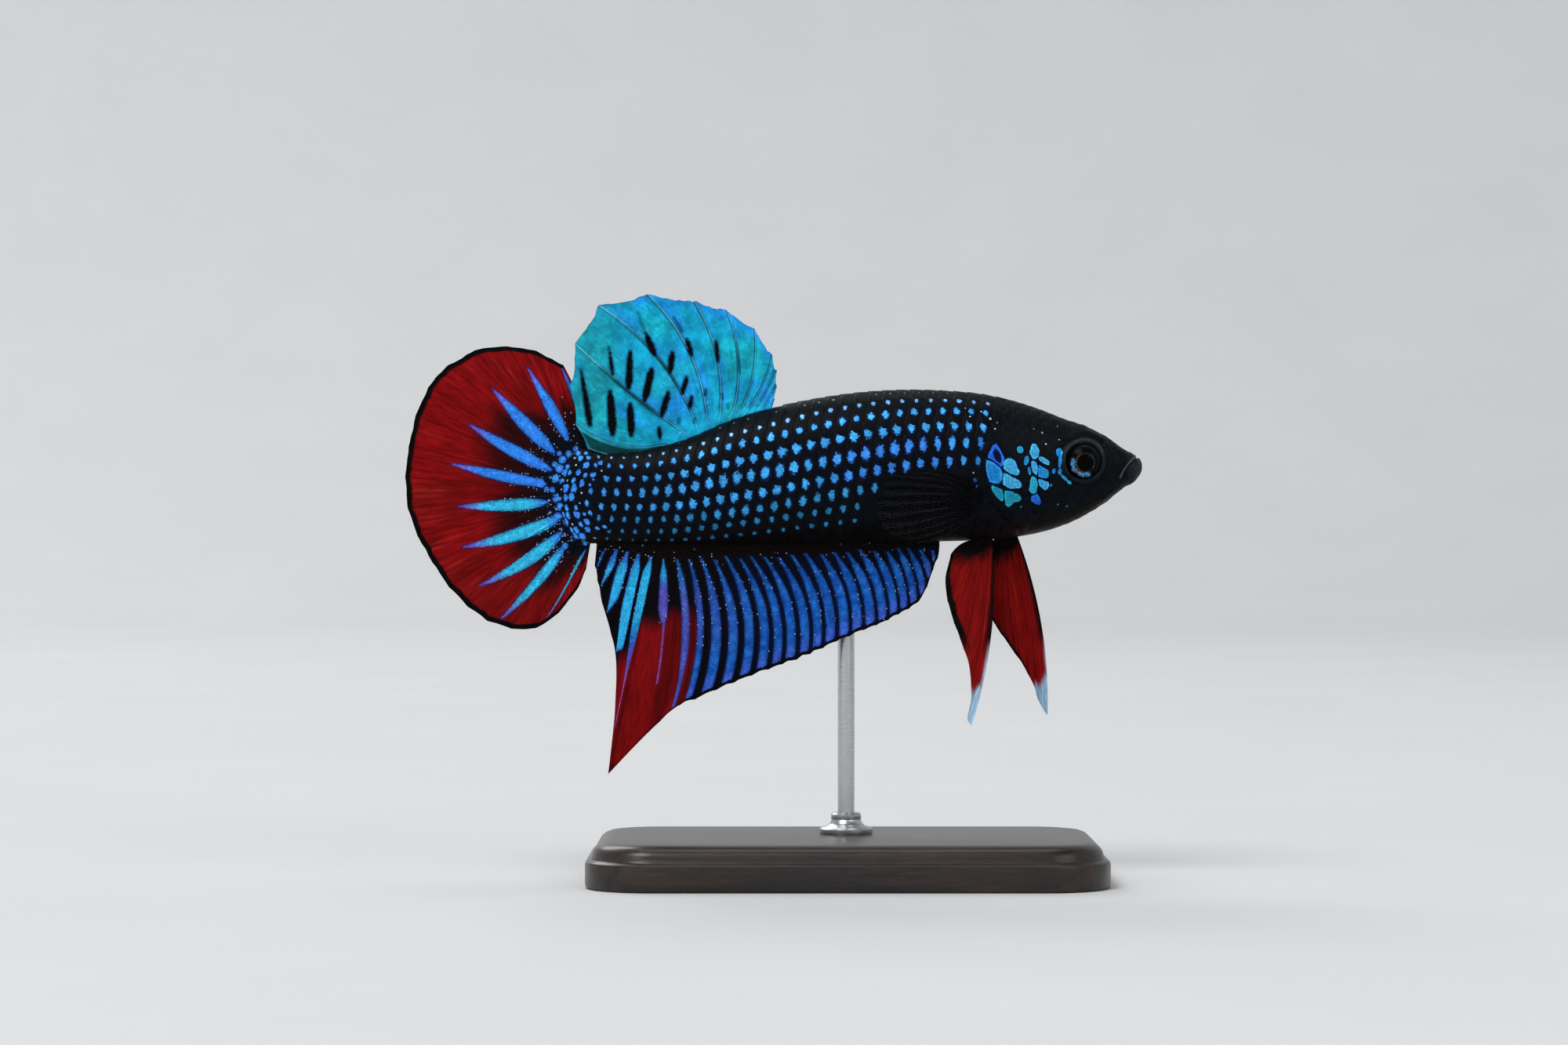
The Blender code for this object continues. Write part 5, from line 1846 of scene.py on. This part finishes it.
def anal_rays_at(share):
    front = smooth(ANAL_RAYS_FRONT, np.minimum(share, ANAL_LOBE))
    rear = smooth(ANAL_RAYS_REAR, np.maximum(share, ANAL_LOBE))
    return np.where(share[:, None] <= ANAL_LOBE, front, rear)


# Stripes of the anal fin from the front: the share along the base at the stripe's
# root and at its tip, and its width as a share of the room it has
ANAL_STRIPES = (
    (0.031, 0.008, 0.66),
    (0.066, 0.034, 0.68),
    (0.098, 0.073, 0.70),
    (0.127, 0.112, 0.70),
    (0.167, 0.144, 0.70),
    (0.203, 0.180, 0.70),
    (0.243, 0.214, 0.70),
    (0.286, 0.250, 0.70),
    (0.323, 0.290, 0.70),
    (0.364, 0.328, 0.69),
    (0.410, 0.372, 0.68),
    (0.452, 0.414, 0.67),
    (0.496, 0.450, 0.66),
    (0.534, 0.490, 0.65),
    (0.572, 0.522, 0.63),
    (0.605, 0.556, 0.61),
    (0.641, 0.594, 0.58),
    (0.676, 0.630, 0.55),
    (0.708, 0.668, 0.52),
    (0.743, 0.722, 0.47),
    (0.776, 0.759, 0.40),
    (0.808, 0.797, 0.30),
    (0.836, 0.858, 0.86),
    (0.876, 0.915, 0.68),
    (0.908, 0.948, 0.72),
    (0.938, 0.974, 0.72),
    (0.975, 0.994, 0.84),
)
# The three stripes that cross the red lobe thin out along it: how much, and
# from which height to which; two of them end above its tip
THINNING = ((22, 0.85, -10.0, -18.0), (21, 0.82, -9.8, -12.0), (20, 0.5, -12.5, -18.0))
STRIPE_ENDS = ((21, -16.8), (22, -20.8))
# Colours of the anal fin
NAVY = (0.0006, 0.0026, 0.013)
REAR_BLACK = (0.0014, 0.0012, 0.003)
STRIPE_DARK = (0.004, 0.055, 0.32)
STRIPE_BRIGHT = (0.016, 0.135, 0.52)
STRIPE_TIP = (0.06, 0.11, 0.60)
REAR_ROOT = (0.01, 0.10, 0.45)
REAR_RIM = (0.03, 0.18, 0.72)
PURPLE = (0.095, 0.075, 0.42)
PINK = (0.36, 0.06, 0.27)


def anal_ray_shares():
    """Where rays begin and end along the fin: a running share, at the root, at the tip."""
    root, tip, _ = np.array(ANAL_STRIPES).T
    count = len(root)
    middles = (np.arange(count) + 0.5) / count
    rows = [(0.0, 0.0, 0.0), (1.0, 1.0, 1.0), (22 / count, (root[21] + root[22]) / 2, ANAL_LOBE)]
    rows += zip(middles, root - 0.12 * (tip - root), tip + 0.06 * (tip - root))
    return np.array(sorted(rows)).T


def make_anal_fin(material):
    count = len(ANAL_STRIPES)
    running, roots, tips = anal_ray_shares()
    fin = Fin(
        np.linspace(0.0, 1.0, count + 1),
        lambda share: anal_rays_at(np.interp(share, running, tips)),
        lambda share: anal_base(np.interp(share, running, roots)),
        cells=12,
        steps=122,
        root=0.9,
        teeth=0.12,
        seed=73,
    )
    v = fin.near_root
    lateral = v * v * wave(0.2, 5, fin.share) + fin.ripple(0.09)
    thickness = fin.thickness(fin.ray_relief(forked=NEVER, width=0.1))
    at = fin.share * count
    number = np.minimum(np.floor(at), count - 1)
    gap, start = stripe_gap(fin, at, number)
    red = lobe_red(fin, at)
    paint = anal_ground(fin, number, red)
    fin.add_mark(gap, stripe_colour(fin, number, gap))
    edge = fin.to_edge + 0.1 * (noise(fin.places, 0.3, 51) - 0.5)
    margin = rise(edge + 0.08 * red, 0.28, 0.18)
    paint = fin.dark_margin(paint, np.maximum(margin, rise(fin.z, -23.9, -24.3)))
    fin.shine = rise(fin.mark, 0.05, -0.05)
    roots = 0.1 * bump(fin.to_root, start - 0.05, 0.4) + 0.03 * rise(fin.to_root, 1.8, 1.2)
    sandy = 0.2 + 0.25 * rise(number, 12.0, 17.0) * rise(fin.z, -14.0, -11.0)
    fin.specks = np.maximum(roots, sandy * bump(gap, -0.02, 0.08) * rise(fin.z, -15.0, -11.0))
    fin.build("anal_fin", lateral, thickness, paint, material, "blue_fin")


def stripe_gap(fin, at, number):
    """Distance to the stripes, and how far from the root each of them starts."""
    room = fin.per_share / len(ANAL_STRIPES)
    low = rise(number, 3.0, 14.0) * rise(number, 24.0, 21.0)
    start = 0.6 + 0.6 * low + 0.35 * hashed(np.stack((number, 0 * number), axis=-1), 5)
    half = 0.5 * np.array(ANAL_STRIPES)[number.astype(int), 2] * room
    swell = start + 1.5 + 3.0 * low * rise(number, 20.5, 18.0)
    half = half * (0.33 + 0.67 * rise(fin.to_root, start, swell))
    narrow = rise(number, 21.6, 23.0)
    half = half * rise(fin.to_edge, 0.0, 0.5 + 3.2 * narrow) ** (0.5 + 0.25 * narrow)
    for stripe, amount, from_z, to_z in THINNING:
        half = half * (1 - amount * (number == stripe) * rise(fin.z, from_z, to_z))
    gap = np.abs(at - number - 0.5) * room - half
    gap = np.maximum(gap, start - 0.1 - fin.to_root)
    for stripe, end_z in STRIPE_ENDS:
        gap = np.maximum(gap, np.where(number == stripe, end_z - fin.z, -FAR))
    return gap, start


def lobe_red(fin, at):
    """How red the membrane is, from 0 to 1: two patches and a fainter border."""
    height = fin.z + 1.6 * (noise(np.stack((at, 0 * at), axis=-1), 0.45, 58) - 0.5)
    below = rise(height, -9.8, -12.0)
    red = rise(at, 19.95, 20.35) * rise(at, 22.8, 22.5) * below
    red = np.maximum(red, 0.4 * rise(at, 19.5, 19.8) * rise(at, 20.5, 20.2) * below)
    rear = rise(at, 23.5, 23.1) * rise(at, 22.3, 22.6)
    return np.maximum(red, rear * rise(fin.z, -13.2, -16.0))


def anal_ground(fin, number, red):
    """Brownish at the root, then navy in front and black at the rear, with the lobe."""
    navy = mix(NAVY, REAR_BLACK, rise(number, 13.0, 19.0))
    paint = mix(np.array(BELLY) * (0.8, 0.6, 0.7), navy, rise(fin.v, 0.05, 0.25))
    streaky = noise(fin.streaks(60, 3), 1.0, 54)
    broad = noise(fin.streaks(42, 1.5), 1.0, 56)
    paint = mix(paint, RED, red * (0.8 + 0.2 * streaky))
    paint = mix(paint, np.array(RED) * 0.35, 0.75 * red * rise(broad, 0.5, 0.9))
    return mix(paint, np.array(RED) * 0.3, 0.6 * red * fin.ray_line(0.07))


def stripe_colour(fin, number, gap):
    """Blue in front, cyan at the rear, and violet to pink through the lobe."""
    blue = mix(STRIPE_DARK, STRIPE_BRIGHT, noise(fin.places, 0.5, 52))
    blue = mix(blue, STRIPE_TIP, 0.6 * rise(fin.to_edge, 2.0, 0.3))
    upper = np.where(number == 21, rise(fin.z, -8.5, -6.5), rise(fin.z, -13.5, -10.0))
    blue = mix(blue, CYAN, np.where(number > 22.5, 1.0, upper * rise(number, 19.5, 21.5)))
    rear = rise(number, 21.5, 22.5)
    blue = mix(blue, REAR_ROOT, rear * rise(fin.to_root, 2.6, 1.0))
    blue = mix(blue, REAR_RIM, 0.7 * rear * rise(gap, -0.22, -0.05))
    stripes, shares = (15, 17, 18, 19, 20, 21, 22, 23), (0, 0.08, 0.15, 0.3, 0.6, 0.9, 1, 0)
    last = number == 22
    violet = np.interp(number, stripes, shares)
    violet = violet * rise(fin.z - np.where(last, -12.5, -6.8), 0.0, -2.2)
    violet = violet * np.where(number < 19.5, rise(fin.z, -15.0, -11.5), 1.0)
    blue = mix(blue, PURPLE, violet)
    pink = rise(fin.z, np.where(last, -15.0, -11.0), np.where(last, -17.5, -12.5))
    return mix(blue, PINK, pink * np.isin(number, (21, 22)))


PELVIC_RED = (0.25, 0.005, 0.004)
PECTORAL_MEMBRANE = (0.002, 0.0022, 0.0028)
PECTORAL_RAY = (0.022, 0.023, 0.026)


def make_pelvic_fin(name, side, material):
    start, end = PELVIC_BASE[name]

    def base(share):
        x = start + share * (end - start)
        _, bottom, half, middle = body_at(x)
        across = np.minimum(1.0, PELVIC_ROOT_Y / half)
        lower = (1.0 - across**BODY_ROUNDNESS) ** (1.0 / BODY_ROUNDNESS)
        return x, middle - (middle - bottom) * lower

    shares = np.linspace(0.0, 1.0, PELVIC_RAY_COUNT)
    build = {"cells": 12, "steps": 132, "root": 0.8, "teeth": 0.07, "seed": 74}
    fin = Fin(shares, smooth_rows(PELVIC_RAYS[name]), base, **build)
    spread = PELVIC_REAR_SHARE + (1 - PELVIC_REAR_SHARE) * fin.share
    lateral = side * (PELVIC_ROOT_Y + PELVIC_SPREAD * fin.near_root * spread) + fin.ripple(0.1)
    half = fin.thickness(fin.ray_relief(forked=0.5, width=0.1), membrane=0.06, ray=0.12)
    streaky = noise(fin.streaks(11, 2.2), 1.0, 61 + side)
    ragged = 0.3 * (noise(fin.places, 0.5, 62) - 0.5)
    paint = mix(np.array(RED) * 0.7, PELVIC_RED, streaky)
    paint = mix(paint, np.array(RED) * 0.3, 0.6 * fin.ray_line(0.07))
    black = rise(fin.to_root + 1.6 * fin.share + ragged * 2, 3.6, 1.8)
    border = 1.05 if side < 0 else 0.5
    edge = rise(fin.to_edge + ragged, border + 0.2, border - 0.2) * rise(fin.share, 0.93, 0.8)
    fading = -15.7 if side > 0 else -13.3
    black = np.maximum(black, edge * rise(fin.z, fading - 1.2, fading + 1.2))
    black = np.maximum(black, 0.95 * rise(fin.share, 0.9, 0.97) * rise(fin.to_root, 11.0, 8.5))
    paint = mix(paint, INK, black)
    ahead = (0.9 + 0.6 * side) * rise(fin.share, 0.8, 1.0)
    low = rise(fin.z + 1.4 * (streaky - 0.5) - ahead, -16.9, -17.9)
    front_line = 0.75 * rise(fin.share, 0.975, 0.995) * rise(fin.z, -12.6, -14.5)
    paint = mix(paint, PALE_TIP, np.maximum(low, front_line))
    fin.build("pelvic_fin_" + name, lateral, half, paint, material, "red_pelvic_fin")


def make_pectoral_fin(name, side, material):
    (top_x, top_z), (low_x, low_z) = PECTORAL_BASE

    def base(share):
        return top_x + share * (low_x - top_x), top_z + share * (low_z - top_z)

    shares = np.linspace(0.0, 1.0, PECTORAL_RAY_COUNT)
    build = {"cells": 12, "steps": 96, "root": 0.7, "teeth": 0.07, "seed": 75}
    fin = Fin(shares, smooth_rows(PECTORAL_RAYS), base, **build)
    base_x, base_z = base(fin.share)
    root = np.abs(surface(base_x, side_angle(base_x, base_z, 1))[..., 1]) + GAP
    tips = smooth(PECTORAL_RAYS, fin.share)[..., 0]
    lateral = root + fin.near_root * (base_x - tips) * math.tan(PECTORAL_ANGLE)
    lateral = lateral - 0.6 * rise(fin.v, 0.1, -0.15) + fin.ripple(0.08)
    crest = fin.ray_relief(forked=0.4, width=0.1)
    half = fin.thickness(crest, membrane=0.04, ray=0.09, root=0.22)
    paint = mix(PECTORAL_MEMBRANE, PECTORAL_RAY, crest * rise(fin.v, 0.1, 0.4))
    fin.build("pectoral_fin_" + name, side * lateral, half, paint, material, "smoky_fin")


# ---------------------------------------------------------------- stand


def spun(profile, sides):
    """Rings of points from a profile of (radius, z)."""
    x, y = np.cos(turns(sides)), np.sin(turns(sides))
    return np.concatenate([np.column_stack((r * x, r * y, 0 * x + z)) for r, z in profile])


def turned(name, profile, sides, at, material, replaced=()):
    """A closed turned piece from a profile of (radius, z), lowest first."""
    points = spun(profile, sides) + (*at, 0.0)
    faces = capped_tube(len(profile), sides)
    make_piece(name, points, faces, material, replaced, 35.0)


BASE_CORNER = 6.0
CORNER_STEPS = 14
STRAIGHT_STEPS = 30
# Edge of the stand's base, from its underside up: height as a share of the base's
# thickness, and how far it is drawn in
BASE_EDGE = (
    (0.0, 0.3),
    (0.04, 0.05),
    (0.1, 0.0),
    (0.52, 0.0),
    (0.58, 0.06),
    (0.61, 0.22),
    (0.64, 0.5),
    (0.7, 0.62),
    (0.78, 0.68),
    (0.87, 0.86),
    (0.94, 1.2),
    (0.985, 1.7),
    (1.0, 2.3),
)


def make_stand_base(material):
    """A rounded wooden plate with a moulded edge."""
    low, high = (np.array(corner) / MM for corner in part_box("stand_base"))
    middle = (low + high) / 2
    half_length, half_width = (high - low)[:2] / 2 - BASE_CORNER
    outline = []
    quarters = ((1, 1), (-1, 1), (-1, -1), (1, -1))
    for quarter, (side_x, side_y) in enumerate(quarters):
        for k in range(CORNER_STEPS + 1):
            turn = math.pi / 2 * (quarter + k / CORNER_STEPS)
            corner = (side_x * half_length, side_y * half_width)
            outline.append((*corner, math.cos(turn), math.sin(turn)))
        after_x, after_y = quarters[(quarter + 1) % 4]
        turn = math.pi / 2 * (quarter + 1)
        for t in np.arange(1, STRAIGHT_STEPS) / STRAIGHT_STEPS:
            x = half_length * (side_x + (after_x - side_x) * t)
            y = half_width * (side_y + (after_y - side_y) * t)
            outline.append((x, y, math.cos(turn), math.sin(turn)))
    outline = np.array(outline)
    rings = []
    for share, inset in BASE_EDGE:
        ring = outline[:, :2] + outline[:, 2:] * (BASE_CORNER - inset) + middle[:2]
        z = low[2] + share * (high[2] - low[2])
        rings.append(np.column_stack((ring, np.full(len(ring), z))))
    points, faces = np.concatenate(rings), capped_tube(len(BASE_EDGE), len(outline))
    replaced = ("stand_base",)
    make_piece("stand_base_visual", points, faces, material, replaced, 28.0)


# The turned foot: radius and height over the base. The pad: radius as a share of
# the rod's, and depth below its own top
ROD_FOOT = (
    (0.9, -0.6),
    (2.3, -0.05),
    (2.4, 0.15),
    (2.4, 0.45),
    (2.25, 0.6),
    (1.75, 0.72),
    (1.45, 0.95),
    (1.32, 1.3),
    (1.36, 1.45),
    (1.36, 1.75),
    (1.2, 1.9),
)
ROD_PAD = ((0.9, 1.75), (1.18, 1.7), (1.25, 1.55), (1.25, 0.25), (1.15, 0.0))


def make_stand_rod(steel, felt):
    """The steel rod with its turned foot, and a felt pad where it holds the fish."""
    low, high = (np.array(corner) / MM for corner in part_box("stand_rod"))
    base_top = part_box("stand_base")[1][2] / MM
    at = tuple((low[:2] + high[:2]) / 2)
    radius = (high[0] - low[0]) / 2
    foot = [(r, base_top + z) for r, z in (*ROD_FOOT, (radius * 0.9, 1.95))]
    turned("stand_rod_foot", foot, 64, at, steel)
    top = high[2] + 0.15
    rod = [(radius * 0.94, z) for z in np.linspace(base_top + 0.5, top - 1.4, 24)]
    turned("stand_rod_visual", rod, 48, at, steel, ("stand_rod",))
    pad = [(radius * share, top - down) for share, down in ROD_PAD]
    turned("stand_rod_pad", pad, 48, at, felt)


# ---------------------------------------------------------------- studio

FRAME_WIDTH = 140.0
LENS = 100.0
SENSOR = 36.0
VIEW_CENTRE = (17.92, -2.345)
# Name, place, size and power of each light, and the point they all shine at
LIGHTS = (
    ("key", (-560.0, -900.0, 1250.0), 800.0, 14.0),
    ("fill", (900.0, -900.0, 600.0), 900.0, 3.0),
    ("top", (0.0, 300.0, 1500.0), 900.0, 5.0),
    ("rim", (-500.0, 900.0, 900.0), 700.0, 5.0),
)
LIGHTS_AIM = (0.0, 0.0, 32.0)
ROOM_COLOUR = (0.93, 0.96, 1.0, 1.0)
ROOM_STRENGTH = 0.22
SWEEP_FLOOR = 900.0
SWEEP_CURVE = 500.0
SWEEP_TOP = 1800.0
SWEEP_SIDES = 128
SWEEP_STEPS = 24


def make_backdrop():
    """A pale round floor that sweeps up into a wall on every side."""
    profile = [(radius, 0.0) for radius in (0.01, 60.0, 200.0, 450.0, SWEEP_FLOOR)]
    for k in range(1, SWEEP_STEPS + 1):
        turn = math.pi / 2 * k / SWEEP_STEPS
        out, up = math.sin(turn), 1 - math.cos(turn)
        profile.append((SWEEP_FLOOR + SWEEP_CURVE * out, SWEEP_CURVE * up))
    profile.append((SWEEP_FLOOR + SWEEP_CURVE, SWEEP_TOP))
    faces = inside_out(tube_faces(len(profile), SWEEP_SIDES))
    look = Look("pale_floor", 0.85, 0.2)
    tint = look.noise(0.02, detail=3.0)
    look.set("Base Color", look.mix(tint, *FLOOR))
    make_mesh("backdrop", spun(profile, SWEEP_SIDES), faces, look.material)


def make_lights():
    """Soft disks of light that shine at the fish, in an evenly lit room."""
    for name, at, size, power in LIGHTS:
        light = bpy.data.lights.new(name, "AREA")
        light.shape = "DISK"
        light.size = size * MM
        light.energy = power
        item = add_object(name, light)
        item.location = np.array(at) * MM
        x, y, z = np.array(at) - LIGHTS_AIM
        item.rotation_euler = (math.atan2(math.hypot(x, y), z), 0.0, math.atan2(x, -y))
        item.visible_camera = False
    world = bpy.data.worlds.new("soft_room")
    world.use_nodes = True
    background = world.node_tree.nodes["Background"]
    background.inputs["Color"].default_value = ROOM_COLOUR
    background.inputs["Strength"].default_value = ROOM_STRENGTH
    bpy.context.scene.world = world


def make_camera():
    """Side on and level, as the fish was seen."""
    data = bpy.data.cameras.new("camera")
    data.lens = LENS
    data.sensor_width = SENSOR
    data.clip_start = 0.01
    camera = add_object("camera", data)
    distance = FRAME_WIDTH * LENS / SENSOR
    at = FISH_AT + (VIEW_CENTRE[0], -distance, VIEW_CENTRE[1])
    camera.location = at * MM
    camera.rotation_euler = (math.pi / 2, 0.0, 0.0)
    bpy.context.scene.camera = camera


def main():
    make_skin(skin_material())
    scales = scale_material()
    make_scales("scales_right", -1, scales)
    make_scales("scales_left", 1, scales)
    eye = eye_material()
    make_eye("eye_right", -1, eye)
    make_eye("eye_left", 1, eye)
    dorsal = fin_material("dorsal_membrane", 0.4, 0.09, halo=0.6, streaky=0.12, crinkle=0.22)
    make_dorsal_fin(dorsal)
    make_caudal_fin(fin_material("caudal_membrane", ragged=0.3, halo=0.75))
    make_anal_fin(fin_material("anal_membrane", ragged=0.14, halo=0.5))
    pelvic = fin_material("pelvic_membrane")
    pectoral = fin_material("pectoral_membrane", alpha=0.42)
    for name, side in (("right", -1), ("left", 1)):
        make_pelvic_fin(name, side, pelvic)
        make_pectoral_fin(name, side, pectoral)
    make_stand_base(wood_material())
    make_stand_rod(steel_material(), felt_material())
    make_backdrop()
    make_lights()
    make_camera()
    bpy.context.scene.view_settings.view_transform = "Standard"


main()
